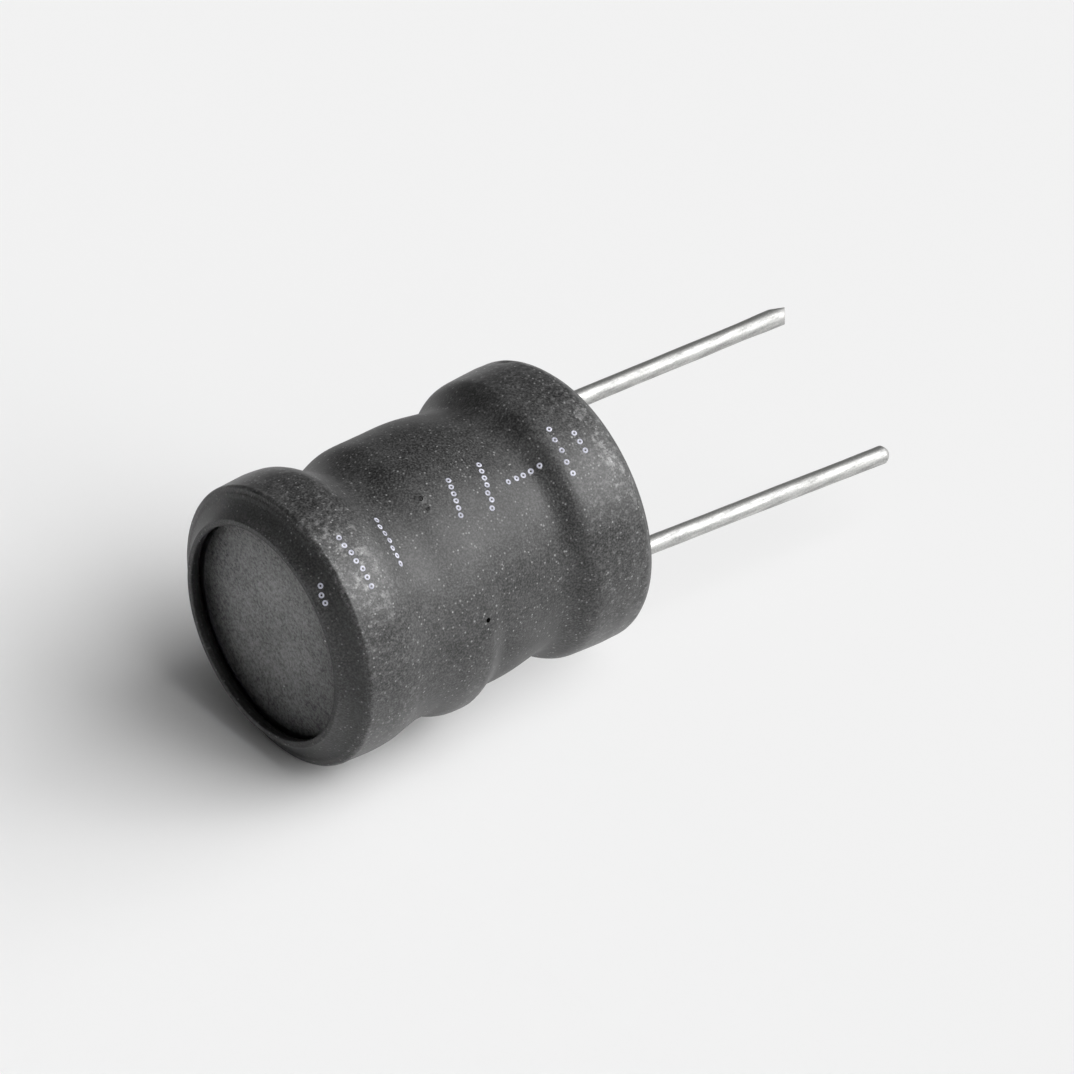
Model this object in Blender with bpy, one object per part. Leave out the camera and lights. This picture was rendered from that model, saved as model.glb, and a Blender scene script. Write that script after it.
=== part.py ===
"""Drum core inductor: a wound ferrite drum in a heat-shrink sleeve, with two tinned radial leads.

Metres, +Z up. The part stands on its head: the origin is the centre of the sleeve's head rim,
which rests on Z = 0. The drum's axis is +Z and the leads point up, one on each side along Y.
"""

import math

import bmesh
import bpy
from mathutils import Matrix, Vector

MM = 0.001

# Ferrite drum
CORE_DIAMETER = 8.0 * MM
CORE_HEIGHT = 10.0 * MM
HEAD_FLANGE = 1.93 * MM
BASE_FLANGE = 1.5 * MM
HUB_DIAMETER = 4.0 * MM
HUB_FILLET = 0.4 * MM
FLANGE_CHAMFER = 0.27 * MM
PIN_HOLE_DIAMETER = 1.0 * MM
PIN_HOLE_DEPTH = 1.3 * MM
SLOT_WIDTH = 0.72 * MM
SLOT_FLOOR = 2.95 * MM
SLOT_OFFSET = 0.5 * MM

# Clearance between pieces that seat on each other
FIT_GAP = 0.05 * MM

# Heat-shrink sleeve
SLEEVE_WALL = 0.45 * MM
HEAD_RECESS = 0.47 * MM
BASE_COLLAR = 0.88 * MM
BASE_SKEW = 0.09 * MM
HEAD_OVERHANG = 0.55 * MM
BASE_OVERHANG = 0.28 * MM
RIM_FLAT = 0.18 * MM
LIP_THICKNESS = 0.37 * MM
HEAD_TAPER = 0.6 * MM
HEAD_ROUNDING = 0.35 * MM
BASE_ROUNDING = 0.55 * MM
EDGE_ROUNDING = 0.06 * MM
HEAD_DRAPE = 0.9 * MM
BASE_DRAPE = 0.75 * MM

# Winding
WIRE_DIAMETER = 0.44 * MM
TURN_PITCH = 0.46 * MM
WINDING_DIAMETER = 6.72 * MM
LAST_LAYER_RISE = 0.3 * MM
LAST_LAYER_START = 3.6 * MM
LAST_LAYER_CREST = 4.65 * MM
LAST_LAYER_TAPER = 6.4 * MM
LAST_LAYER_END = 8.95 * MM
SLACK_RISE = 0.32 * MM
SLACK_START = 3.6 * MM
SLACK_CREST = 4.9 * MM
SLACK_STEP = 5.4 * MM
SLACK_END = 5.95 * MM
SLACK_BEARING = math.radians(100)
SLACK_SPREAD = 1.3
TAIL_BEND = 0.3 * MM

# Leads
LEAD_DIAMETER = 0.56 * MM
LEAD_PITCH = 4.85 * MM
LEAD_BEND_HEIGHT = 1.9 * MM
LEAD_BEND_SOFTNESS = 0.5 * MM
LEAD_A_LENGTH = 10.87 * MM
LEAD_B_LENGTH = 11.7 * MM
LEAD_A_LEAN = math.radians(2.0)
LEAD_B_LEAN = math.radians(3.25)
LEAD_B_CHAMFER = 0.2 * MM

# Lead A's end, which the cutters squeezed and sheared from two sides
SWELLING_SHARE = 0.07
SWELLING_RUN_IN = 2.2 * MM
SWELLING_CREST = 0.9 * MM
CHOP_SLANT = math.radians(38.6)
CHOP_BEARING = math.radians(45)
BEVEL_RUN = 0.62 * MM
BEVEL_SLANT = math.radians(76)
BEVEL_BEARING = math.radians(-79)

# Solder joint over the wire end that is wrapped round each lead
JOINT_DIAMETER = 1.0 * MM
JOINT_BARREL = 0.85 * MM
JOINT_TAPER = 0.75 * MM
RIDGE_COUNT = 2
RIDGE_HEIGHT = 0.07 * MM

# Facets
BODY_STEPS = 40
PIN_STEPS = 20
WAIST_ROWS = 28
BORE_ROWS = 36
ARC_STEPS = 4
POINTS_PER_TURN = 20
LEAD_ROWS = 14
SMOOTH_ANGLE = math.radians(35)
RIM_ANGLE = math.radians(60)
WELD = 0.0001 * MM

# Levels that follow from the sizes above
CORE_RADIUS = CORE_DIAMETER / 2
HUB_RADIUS = HUB_DIAMETER / 2
HEAD_FACE = HEAD_RECESS
BASE_FACE = HEAD_FACE + CORE_HEIGHT
WINDOW_FLOOR = HEAD_FACE + HEAD_FLANGE
WINDOW_TOP = BASE_FACE - BASE_FLANGE
SLEEVE_LENGTH = BASE_FACE + BASE_COLLAR
BORE_RADIUS = CORE_RADIUS + FIT_GAP
SLEEVE_RADIUS = BORE_RADIUS + SLEEVE_WALL
HEAD_OPENING_RADIUS = CORE_RADIUS - HEAD_OVERHANG
BASE_OPENING_RADIUS = CORE_RADIUS - BASE_OVERHANG
WIRE_RADIUS = WIRE_DIAMETER / 2
LEAD_RADIUS = LEAD_DIAMETER / 2
JOINT_RADIUS = JOINT_DIAMETER / 2
PIN_HOLE_FLOOR = BASE_FACE - PIN_HOLE_DEPTH


def clear_scene():
    """Removes everything, so that only this part is left."""
    for obj in list(bpy.data.objects):
        bpy.data.objects.remove(obj, do_unlink=True)


def finish(name, colour, roughness, metallic=0.0):
    """A Principled material."""
    made = bpy.data.materials.new(name)
    made.use_nodes = True
    shader = made.node_tree.nodes["Principled BSDF"]
    shader.inputs["Base Color"].default_value = (*colour, 1.0)
    shader.inputs["Roughness"].default_value = roughness
    shader.inputs["Metallic"].default_value = metallic
    made.diffuse_color = (*colour, 1.0)
    return made


def smoothstep(start, end, value):
    """0 before start, 1 after end, and a smooth rise between."""
    t = min(max((value - start) / (end - start), 0.0), 1.0)
    return t * t * (3 - 2 * t)


# Shape of the wound drum, which the sleeve follows


def winding_radius(z):
    """Outer radius of the winding: full layers with a last, shorter layer over their middle."""
    rise = smoothstep(LAST_LAYER_START, LAST_LAYER_CREST, z)
    fall = smoothstep(LAST_LAYER_TAPER, LAST_LAYER_END, z)
    return WINDING_DIAMETER / 2 + LAST_LAYER_RISE * rise * (1 - fall)


def slack(z, bearing):
    """How far the slack turns near the head stand out on one side."""
    rise = smoothstep(SLACK_START, SLACK_CREST, z)
    fall = smoothstep(SLACK_STEP, SLACK_END, z)
    facing = (1 + math.cos(bearing - SLACK_BEARING)) / 2
    return SLACK_RISE * rise * (1 - fall) * facing**SLACK_SPREAD


def sleeve_bore(z):
    """Inner radius of the sleeve, which sags from each flange's edge onto the winding."""
    head = 1 - smoothstep(WINDOW_FLOOR - FLANGE_CHAMFER, WINDOW_FLOOR + HEAD_DRAPE, z)
    base = smoothstep(WINDOW_TOP - BASE_DRAPE, WINDOW_TOP + FLANGE_CHAMFER, z)
    over_winding = winding_radius(z) + FIT_GAP
    return over_winding + (BORE_RADIUS - over_winding) * max(head, base)


def levels(start, end, count):
    """Evenly spaced heights from start to end."""
    return [start + (end - start) * i / (count - 1) for i in range(count)]


# Modelling helpers


def rounded(corners, steps=ARC_STEPS):
    """The points of a line of (radius, height, rounding) corners, each rounded with an arc."""
    points = []
    for i, (r, z, rounding) in enumerate(corners):
        here = Vector((r, z))
        if rounding == 0 or i in (0, len(corners) - 1):
            points.append(here)
            continue
        back = (Vector(corners[i - 1][:2]) - here).normalized()
        ahead = (Vector(corners[i + 1][:2]) - here).normalized()
        half = back.angle(ahead) / 2
        reach = rounding / math.tan(half)
        centre = here + (back + ahead).normalized() * (rounding / math.sin(half))
        first = (here + back * reach - centre).normalized()
        last = (here + ahead * reach - centre).normalized()
        for k in range(steps + 1):
            points.append(centre + first.slerp(last, k / steps) * rounding)
    return [tuple(p) for p in points]


def add_object(name, bm, look):
    """Makes a mesh object of a bmesh, shaded smooth but for its sharp edges."""
    bmesh.ops.recalc_face_normals(bm, faces=bm.faces)
    mesh = bpy.data.meshes.new(name)
    bm.to_mesh(mesh)
    bm.free()
    mesh.shade_smooth()
    mesh.set_sharp_from_angle(angle=SMOOTH_ANGLE)
    mesh.materials.append(look)
    obj = bpy.data.objects.new(name, mesh)
    bpy.context.scene.collection.objects.link(obj)
    return obj


def turned(outline, steps, centre=(0.0, 0.0)):
    """An outline of (radius, height) points, turned about a vertical axis.

    It is closed into a ring, or left open where it starts and ends on the axis.
    """
    bm = bmesh.new()
    ring = [bm.verts.new((r, 0.0, z)) for r, z in outline]
    edges = [bm.edges.new(pair) for pair in zip(ring, ring[1:])]
    if outline[0][0] > 0:
        edges.append(bm.edges.new((ring[-1], ring[0])))
    bmesh.ops.spin(bm, geom=ring + edges, cent=(0, 0, 0), axis=(0, 0, 1), angle=math.tau,
                   steps=steps, use_merge=True)
    bmesh.ops.remove_doubles(bm, verts=bm.verts, dist=WELD)
    bmesh.ops.translate(bm, verts=bm.verts, vec=(*centre, 0.0))
    return bm


def push_out_slack(bm, inner_radius):
    """Moves what lies outside inner_radius outward over the slack turns."""
    for vert in bm.verts:
        radius = vert.co.xy.length
        if radius > inner_radius:
            grown = radius + slack(vert.co.z, math.atan2(vert.co.y, vert.co.x))
            vert.co.xy *= grown / radius


def prism(outline, floor, top):
    """A closed outline of (x, y) points, extruded from floor to top."""
    bm = bmesh.new()
    face = bm.faces.new([bm.verts.new((x, y, floor)) for x, y in outline])
    grown = bmesh.ops.extrude_face_region(bm, geom=[face])["geom"]
    verts = [v for v in grown if isinstance(v, bmesh.types.BMVert)]
    bmesh.ops.translate(bm, verts=verts, vec=(0, 0, top - floor))
    return bm


def tube(points, radii, resolution):
    """A round wire along the points, with its ends closed."""
    path = bpy.data.curves.new("wire_path", "CURVE")
    path.dimensions = "3D"
    path.bevel_depth = 1.0
    path.bevel_resolution = resolution
    path.use_fill_caps = True
    spline = path.splines.new("POLY")
    spline.points.add(len(points) - 1)
    for place, co, radius in zip(spline.points, points, radii):
        place.co = (*co, 1.0)
        place.radius = radius
    guide = bpy.data.objects.new("wire_path", path)
    bpy.context.scene.collection.objects.link(guide)
    mesh = bpy.data.meshes.new_from_object(guide)
    bm = bmesh.new()
    bm.from_mesh(mesh)
    bmesh.ops.remove_doubles(bm, verts=bm.verts, dist=WELD)
    bpy.data.objects.remove(guide, do_unlink=True)
    return bm


def helper(name, bm):
    """A shape that only cuts or joins another, so it isn't rendered."""
    obj = add_object(name, bm, LOOKS["helper"])
    obj.hide_render = True
    obj.display_type = "WIRE"
    return obj


def combine(obj, other, operation):
    """Joins another shape to an object, or cuts it away."""
    step = obj.modifiers.new(other.name, "BOOLEAN")
    step.operation = operation
    step.solver = "EXACT"
    step.object = other


# The pieces


def pin_place(side):
    """Where a lead stands, from above: side is -1 for lead A and +1 for lead B."""
    return (0.0, side * LEAD_PITCH / 2)


def make_core():
    """The ferrite drum: two chamfered flanges on a filleted hub, with pin holes and wire slots."""
    profile = rounded([
        (0.0, HEAD_FACE, 0),
        (CORE_RADIUS - FLANGE_CHAMFER, HEAD_FACE, 0),
        (CORE_RADIUS, HEAD_FACE + FLANGE_CHAMFER, 0),
        (CORE_RADIUS, WINDOW_FLOOR - FLANGE_CHAMFER, 0),
        (CORE_RADIUS - FLANGE_CHAMFER, WINDOW_FLOOR, 0),
        (HUB_RADIUS, WINDOW_FLOOR, HUB_FILLET),
        (HUB_RADIUS, WINDOW_TOP, HUB_FILLET),
        (CORE_RADIUS - FLANGE_CHAMFER, WINDOW_TOP, 0),
        (CORE_RADIUS, WINDOW_TOP + FLANGE_CHAMFER, 0),
        (CORE_RADIUS, BASE_FACE - FLANGE_CHAMFER, 0),
        (CORE_RADIUS - FLANGE_CHAMFER, BASE_FACE, 0),
        (0.0, BASE_FACE, 0),
    ])
    core = add_object("drum_core", turned(profile, BODY_STEPS), LOOKS["ferrite"])
    for side, letter in ((-1, "a"), (1, "b")):
        x, y = pin_place(side)
        hole = bmesh.new()
        bmesh.ops.create_cone(hole, cap_ends=True, segments=PIN_STEPS, radius1=PIN_HOLE_DIAMETER / 2,
                              radius2=PIN_HOLE_DIAMETER / 2, depth=2 * PIN_HOLE_DEPTH,
                              matrix=Matrix.Translation((x, y, BASE_FACE)))
        combine(core, helper(f"pin_hole_{letter}", hole), "DIFFERENCE")
        combine(core, helper(f"wire_slot_{letter}", make_slot(side)), "DIFFERENCE")


def make_slot(side):
    """The cutter of a wire slot: round floored, open at the flange's edge, beside the pin hole."""
    half = SLOT_WIDTH / 2
    centre = SLOT_FLOOR + half
    outline = [(half, 2 * CORE_RADIUS)]
    for k in range(ARC_STEPS * 2 + 1):
        turn = math.pi * k / (ARC_STEPS * 2)
        outline.append((half * math.cos(turn), centre - half * math.sin(turn)))
    outline.append((-half, 2 * CORE_RADIUS))
    outline = [(side * (SLOT_OFFSET + x), side * y) for x, y in outline]
    return prism(outline, WINDOW_TOP - BASE_FLANGE / 4, BASE_FACE + BASE_FLANGE / 4)


def make_winding():
    """The enamelled wire: the last turns stand out as a helix, and both ends rise to the leads."""
    inner = HUB_RADIUS + FIT_GAP
    floor = WINDOW_FLOOR + FIT_GAP
    top = WINDOW_TOP - FIT_GAP
    fillet = HUB_FILLET
    outer = [(winding_radius(z) - WIRE_RADIUS, z) for z in levels(floor, top, BORE_ROWS)]
    outline = [(inner, top - fillet), (inner, floor + fillet), (inner + fillet, floor)]
    outline += outer + [(inner + fillet, top)]
    bm = turned(outline, BODY_STEPS)
    push_out_slack(bm, (inner + WINDING_DIAMETER / 2) / 2)
    winding = add_object("winding", bm, LOOKS["copper"])
    combine(winding, helper("outer_turns", make_turns(floor, top)), "UNION")
    for side, letter in ((-1, "a"), (1, "b")):
        combine(winding, helper(f"wire_tail_{letter}", make_tail(side)), "UNION")


def make_turns(floor, top):
    """The visible turns: one wire that winds from the head flange to the base flange."""
    start = floor + WIRE_RADIUS
    turns = (top - floor - WIRE_DIAMETER) / TURN_PITCH
    points = []
    for i in range(int(turns * POINTS_PER_TURN) + 1):
        bearing = math.tau * i / POINTS_PER_TURN
        z = start + TURN_PITCH * i / POINTS_PER_TURN
        radius = winding_radius(z) - WIRE_RADIUS + slack(z, bearing)
        points.append((radius * math.cos(bearing), radius * math.sin(bearing), z))
    return tube(points, [WIRE_RADIUS] * len(points), 1)


def make_tail(side):
    """One end of the wire: from the winding through its slot, then in towards the solder joint."""
    across = SLOT_OFFSET
    out = SLOT_FLOOR + FIT_GAP + WIRE_RADIUS
    level = BASE_FACE + FIT_GAP + WIRE_RADIUS
    end = LEAD_PITCH / 2 + JOINT_RADIUS + FIT_GAP
    root = WINDOW_TOP - 2 * WIRE_DIAMETER
    route = [(across, winding_radius(root) - WIRE_RADIUS, root), (across, out, WINDOW_TOP - WIRE_RADIUS)]
    for k in range(ARC_STEPS + 1):
        turn = math.pi / 2 * k / ARC_STEPS
        inward = (out - end) * (1 - math.cos(turn))
        rise = TAIL_BEND * math.sin(turn)
        route.append((across, out - inward, level - TAIL_BEND + rise))
    points = [(side * x, side * y, z) for x, y, z in route]
    return tube(points, [WIRE_RADIUS] * len(points), 1)


def lead_shift(height, lean):
    """How far a lead has moved sideways at a height above the base face."""
    past = height - LEAD_BEND_HEIGHT
    return math.tan(lean) * (past + math.hypot(past, LEAD_BEND_SOFTNESS)) / 2


def make_lead(side, length, lean, swelling=0.0):
    """A tinned wire that stands in its pin hole and leans after its bend."""
    x, y = pin_place(side)
    foot = PIN_HOLE_FLOOR + FIT_GAP
    heights = [foot - BASE_FACE] + levels(JOINT_TAPER, length, LEAD_ROWS)
    points = []
    radii = []
    for height in heights:
        swell = smoothstep(length - SWELLING_RUN_IN, length - SWELLING_CREST, height)
        points.append((x, y + lead_shift(height, lean), BASE_FACE + height))
        radii.append(LEAD_RADIUS * (1 + swelling * swell))
    return tube(points, radii, 3)


def direction(slant, bearing):
    """A unit vector that leans by slant from +Z towards a bearing."""
    return Vector((math.sin(slant) * math.cos(bearing), math.sin(slant) * math.sin(bearing), math.cos(slant)))


def shear(bm, point, normal):
    """Cuts away what lies past a plane and closes the cut."""
    bmesh.ops.bisect_plane(bm, geom=bm.verts[:] + bm.edges[:] + bm.faces[:], dist=WELD / 10,
                           plane_co=point, plane_no=normal, clear_outer=True)
    bmesh.ops.holes_fill(bm, edges=[e for e in bm.edges if e.is_boundary])


def make_lead_a():
    """Lead A: its end is chopped at a slant, and bevelled on the side away from lead B."""
    bm = make_lead(-1, LEAD_A_LENGTH, LEAD_A_LEAN, SWELLING_SHARE)
    x, y = pin_place(-1)
    radius = LEAD_RADIUS * (1 + SWELLING_SHARE)
    tip = Vector((x, y + lead_shift(LEAD_A_LENGTH, LEAD_A_LEAN), BASE_FACE + LEAD_A_LENGTH))
    shear(bm, tip - Vector((0, 0, radius * math.tan(CHOP_SLANT))), direction(CHOP_SLANT, CHOP_BEARING))
    flank = direction(math.pi / 2, BEVEL_BEARING) * radius
    shear(bm, tip + flank - Vector((0, 0, BEVEL_RUN)), direction(BEVEL_SLANT, BEVEL_BEARING))
    add_object("lead_a", bm, LOOKS["tin"])


def make_lead_b():
    """Lead B: longer, and chamfered all round its end."""
    bm = make_lead(1, LEAD_B_LENGTH, LEAD_B_LEAN)
    highest = max(v.co.z for v in bm.verts)
    rim = [e for e in bm.edges if all(v.co.z > highest - LEAD_RADIUS for v in e.verts)
           and len(e.link_faces) == 2 and e.calc_face_angle() > RIM_ANGLE]
    bmesh.ops.bevel(bm, geom=rim, offset=LEAD_B_CHAMFER, segments=2, profile=0.5,
                    affect="EDGES", material=-1)
    add_object("lead_b", bm, LOOKS["tin"])


def make_cement(side):
    """The cement that fills a pin hole round its lead."""
    inner = LEAD_RADIUS + FIT_GAP
    outer = PIN_HOLE_DIAMETER / 2 - FIT_GAP
    floor = PIN_HOLE_FLOOR + FIT_GAP
    outline = [(inner, BASE_FACE), (inner, floor), (outer, floor), (outer, BASE_FACE - FIT_GAP)]
    return turned(outline, PIN_STEPS, pin_place(side))


def make_solder_joint(side):
    """Solder over the wire's wrapped end: a barrel with two soft ridges that runs out up the lead."""
    inner = LEAD_RADIUS + FIT_GAP
    waist = JOINT_RADIUS - RIDGE_HEIGHT
    floor = BASE_FACE + FIT_GAP
    top = floor + JOINT_BARREL
    outline = [(inner, top + JOINT_TAPER), (inner, floor)]
    for k, z in enumerate(levels(floor, top, 2 * RIDGE_COUNT + 1)):
        outline.append((waist + RIDGE_HEIGHT * (k % 2), z))
    neck = inner + FIT_GAP
    for share in levels(0, 1, ARC_STEPS)[1:]:
        outline.append((neck + (waist - neck) * (1 - share)**2, top + JOINT_TAPER * share))
    return turned(outline, PIN_STEPS, pin_place(side))


def make_sleeve():
    """The shrunk tube: it hugs both flanges, dips onto the winding and curls in at both ends.

    Its collar past the base flange leans a little towards lead B, as it shrank unevenly.
    """
    first = HEAD_TAPER + HEAD_ROUNDING
    last = SLEEVE_LENGTH - BASE_ROUNDING - EDGE_ROUNDING
    head = rounded([
        (HEAD_OPENING_RADIUS + EDGE_ROUNDING, LIP_THICKNESS, 0),
        (HEAD_OPENING_RADIUS, LIP_THICKNESS / 2, EDGE_ROUNDING),
        (HEAD_OPENING_RADIUS, 0.0, EDGE_ROUNDING / 2),
        (HEAD_OPENING_RADIUS + RIM_FLAT, 0.0, EDGE_ROUNDING),
        (SLEEVE_RADIUS, HEAD_TAPER, HEAD_ROUNDING),
        (SLEEVE_RADIUS, first, 0),
    ])[:-1]
    outside = [(sleeve_bore(z) + SLEEVE_WALL, z) for z in levels(first, last, WAIST_ROWS)]
    base = rounded([
        (SLEEVE_RADIUS, last, 0),
        (SLEEVE_RADIUS, SLEEVE_LENGTH, BASE_ROUNDING),
        (BASE_OPENING_RADIUS, SLEEVE_LENGTH, EDGE_ROUNDING),
        (BASE_OPENING_RADIUS, SLEEVE_LENGTH - 2 * EDGE_ROUNDING, 0),
    ])[1:]
    bore_top = BASE_FACE - FLANGE_CHAMFER
    bore_floor = HEAD_FACE + FLANGE_CHAMFER
    inside = [(sleeve_bore(z), z) for z in levels(bore_top, bore_floor, BORE_ROWS)]
    lip = [(CORE_RADIUS - FLANGE_CHAMFER, HEAD_FACE - FIT_GAP)]
    bm = turned(head + outside + base + inside + lip, BODY_STEPS)
    push_out_slack(bm, HUB_RADIUS)
    for vert in bm.verts:
        vert.co.y += BASE_SKEW * smoothstep(last, SLEEVE_LENGTH, vert.co.z)
    add_object("shrink_sleeve", bm, LOOKS["sleeve"])


clear_scene()
LOOKS = {
    "sleeve": finish("polyolefin shrink sleeve", (0.045, 0.046, 0.05), 0.55),
    "ferrite": finish("nickel zinc ferrite", (0.075, 0.077, 0.082), 0.7),
    "copper": finish("enamelled copper wire", (0.55, 0.2, 0.07), 0.3, 1.0),
    "tin": finish("tinned copper", (0.8, 0.8, 0.79), 0.25, 1.0),
    "solder": finish("tin solder", (0.7, 0.7, 0.7), 0.3, 1.0),
    "cement": finish("epoxy cement", (0.35, 0.3, 0.2), 0.45),
    "helper": finish("construction helper", (0.5, 0.5, 0.5), 1.0),
}
make_core()
make_winding()
make_lead_a()
make_lead_b()
for pin_side, pin_letter in ((-1, "a"), (1, "b")):
    add_object(f"pin_cement_{pin_letter}", make_cement(pin_side), LOOKS["cement"])
    add_object(f"solder_joint_{pin_letter}", make_solder_joint(pin_side), LOOKS["solder"])
make_sleeve()
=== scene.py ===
"""Looks of a drum core inductor: a wound ferrite drum in a heat-shrink sleeve, with two tinned leads.

Metres, +Z up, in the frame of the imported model. The part stands on its head: Z = 0 is the flat of the
sleeve's head rim, the drum's axis is +Z, and the leads point up, lead A at -Y and lead B at +Y.
"""

from __future__ import annotations

import logging
import math
from dataclasses import dataclass
from enum import Enum

import bmesh
import bpy
from mathutils import Matrix, Vector, noise

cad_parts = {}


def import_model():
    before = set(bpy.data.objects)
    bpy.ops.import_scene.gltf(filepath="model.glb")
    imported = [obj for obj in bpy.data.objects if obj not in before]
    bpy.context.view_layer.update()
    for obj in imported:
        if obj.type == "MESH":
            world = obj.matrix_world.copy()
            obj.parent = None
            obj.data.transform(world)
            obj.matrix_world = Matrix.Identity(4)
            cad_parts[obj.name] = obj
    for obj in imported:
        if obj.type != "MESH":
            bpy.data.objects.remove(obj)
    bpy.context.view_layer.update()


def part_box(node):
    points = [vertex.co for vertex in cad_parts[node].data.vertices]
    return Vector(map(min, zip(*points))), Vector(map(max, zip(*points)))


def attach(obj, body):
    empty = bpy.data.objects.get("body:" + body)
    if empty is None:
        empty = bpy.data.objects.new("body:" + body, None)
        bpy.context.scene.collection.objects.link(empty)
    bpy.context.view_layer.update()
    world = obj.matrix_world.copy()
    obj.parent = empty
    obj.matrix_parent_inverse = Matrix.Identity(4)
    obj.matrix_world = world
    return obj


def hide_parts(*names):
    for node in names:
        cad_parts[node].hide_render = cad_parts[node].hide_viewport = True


MM = 0.001
WELD = 0.0001 * MM
ROOT = "root"
LOG = logging.getLogger("drum_core_inductor")

# Where in the noise each kind of flaw is read, so that no two of them match
PUCKER_SEED = Vector((7, 3, 1))
NICK_SEED = Vector((2, 9, 4))
LEAD_SEED = 5 * MM

Outline = list[tuple[float, float]]
Socket = bpy.types.NodeSocket
Tree = bpy.types.NodeTree
# What a finish gives its shader: a value or a node for each input, by the input's name
Feeds = dict[str, object]


class Side(Enum):
    """The two leads, by the side of the drum's axis on which each one stands."""

    A = -1
    B = 1

    @property
    def letter(self) -> str:
        """The letter that ends the names of this side's nodes."""
        return self.name.lower()


class Tip(Enum):
    """How a lead's end was cut."""

    CHOPPED = "sheared at a slant by side cutters"
    CHAMFERED = "cropped square, then drawn in to a short cone"


# Numbers and colours


def smoothstep(start: float, end: float, value: float) -> float:
    """Rises smoothly from 0 to 1.

    Args:
        start: Where the rise begins.
        end: Where it is complete.
        value: Where it is read.

    Returns:
        0 before start, 1 after end, and the smooth rise between them.
    """
    t = min(max((value - start) / (end - start), 0.0), 1.0)
    return t * t * (3 - 2 * t)


def levels(start: float, end: float, count: int) -> list[float]:
    """Spaces values evenly.

    Args:
        start: First value.
        end: Last value.
        count: How many values.

    Returns:
        The values, both ends among them.
    """
    return [start + (end - start) * i / (count - 1) for i in range(count)]


def linear(code: str) -> tuple[float, float, float, float]:
    """Turns an sRGB colour into the linear one that shaders take.

    Args:
        code: Six hex digits, such as "2b2c2e".

    Returns:
        Linear red, green and blue, and an alpha of 1.
    """
    values = []
    for i in (0, 2, 4):
        s = int(code[i:i + 2], 16) / 255
        values.append(s / 12.92 if s <= 0.04045 else ((s + 0.055) / 1.055) ** 2.4)
    return (values[0], values[1], values[2], 1.0)


def per_size(size_mm: float) -> float:
    """The scale at which a texture's features are about size_mm across."""
    return 1 / (size_mm * MM)


# Mesh helpers


def rounded(corners: list[tuple[float, float, float]], steps: int) -> Outline:
    """Rounds the corners of a line.

    Args:
        corners: Points of (radius, height, rounding); a rounding of 0 keeps the corner.
        steps: How many facets each rounding gets.

    Returns:
        The line's points.
    """
    points = []
    for i, (r, z, rounding) in enumerate(corners):
        here = Vector((r, z))
        if rounding == 0 or i in (0, len(corners) - 1):
            points.append(here)
            continue
        back = (Vector(corners[i - 1][:2]) - here).normalized()
        ahead = (Vector(corners[i + 1][:2]) - here).normalized()
        half = back.angle(ahead) / 2
        reach = rounding / math.tan(half)
        centre = here + (back + ahead).normalized() * (rounding / math.sin(half))
        first = (here + back * reach - centre).normalized()
        last = (here + ahead * reach - centre).normalized()
        for k in range(steps + 1):
            points.append(centre + first.slerp(last, k / steps) * rounding)
    return [(p.x, p.y) for p in points]


def refined(outline: Outline, spacing: float) -> Outline:
    """Adds points to the long straight runs of an outline.

    Args:
        outline: Points of (radius, height).
        spacing: The longest step that is left.

    Returns:
        The outline with more points, and the same form.
    """
    points = [outline[0]]
    for (r0, z0), (r1, z1) in zip(outline, outline[1:]):
        pieces = max(1, math.ceil(math.hypot(r1 - r0, z1 - z0) / spacing))
        for k in range(1, pieces + 1):
            points.append((r0 + (r1 - r0) * k / pieces, z0 + (z1 - z0) * k / pieces))
    return points


def face_outwards(bm: bmesh.types.BMesh) -> None:
    """Turns every face of a closed form outwards, also where the operator takes the wrong side.

    Args:
        bm: The form.
    """
    bmesh.ops.recalc_face_normals(bm, faces=bm.faces)
    if bm.calc_volume(signed=True) < 0:
        bmesh.ops.reverse_faces(bm, faces=bm.faces)


def revolved(outline: Outline, segments: int, centre: tuple[float, float] = (0.0, 0.0)) -> bmesh.types.BMesh:
    """Turns an outline about a vertical axis.

    Args:
        outline: Points of (radius, height). It is closed into a ring unless it starts on the axis.
        segments: How many steps the full turn has.
        centre: Where the axis stands, as (x, y).

    Returns:
        The closed form, with its faces pointing out.
    """
    bm = bmesh.new()
    ring = [bm.verts.new((r, 0.0, z)) for r, z in outline]
    edges = [bm.edges.new(pair) for pair in zip(ring, ring[1:])]
    if outline[0][0] > 0:
        edges.append(bm.edges.new((ring[-1], ring[0])))
    bmesh.ops.spin(bm, geom=ring + edges, cent=(0, 0, 0), axis=(0, 0, 1), angle=math.tau,
                   steps=segments, use_merge=True)
    bmesh.ops.remove_doubles(bm, verts=bm.verts, dist=WELD)
    bmesh.ops.translate(bm, verts=bm.verts, vec=(*centre, 0.0))
    face_outwards(bm)
    return bm


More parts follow.
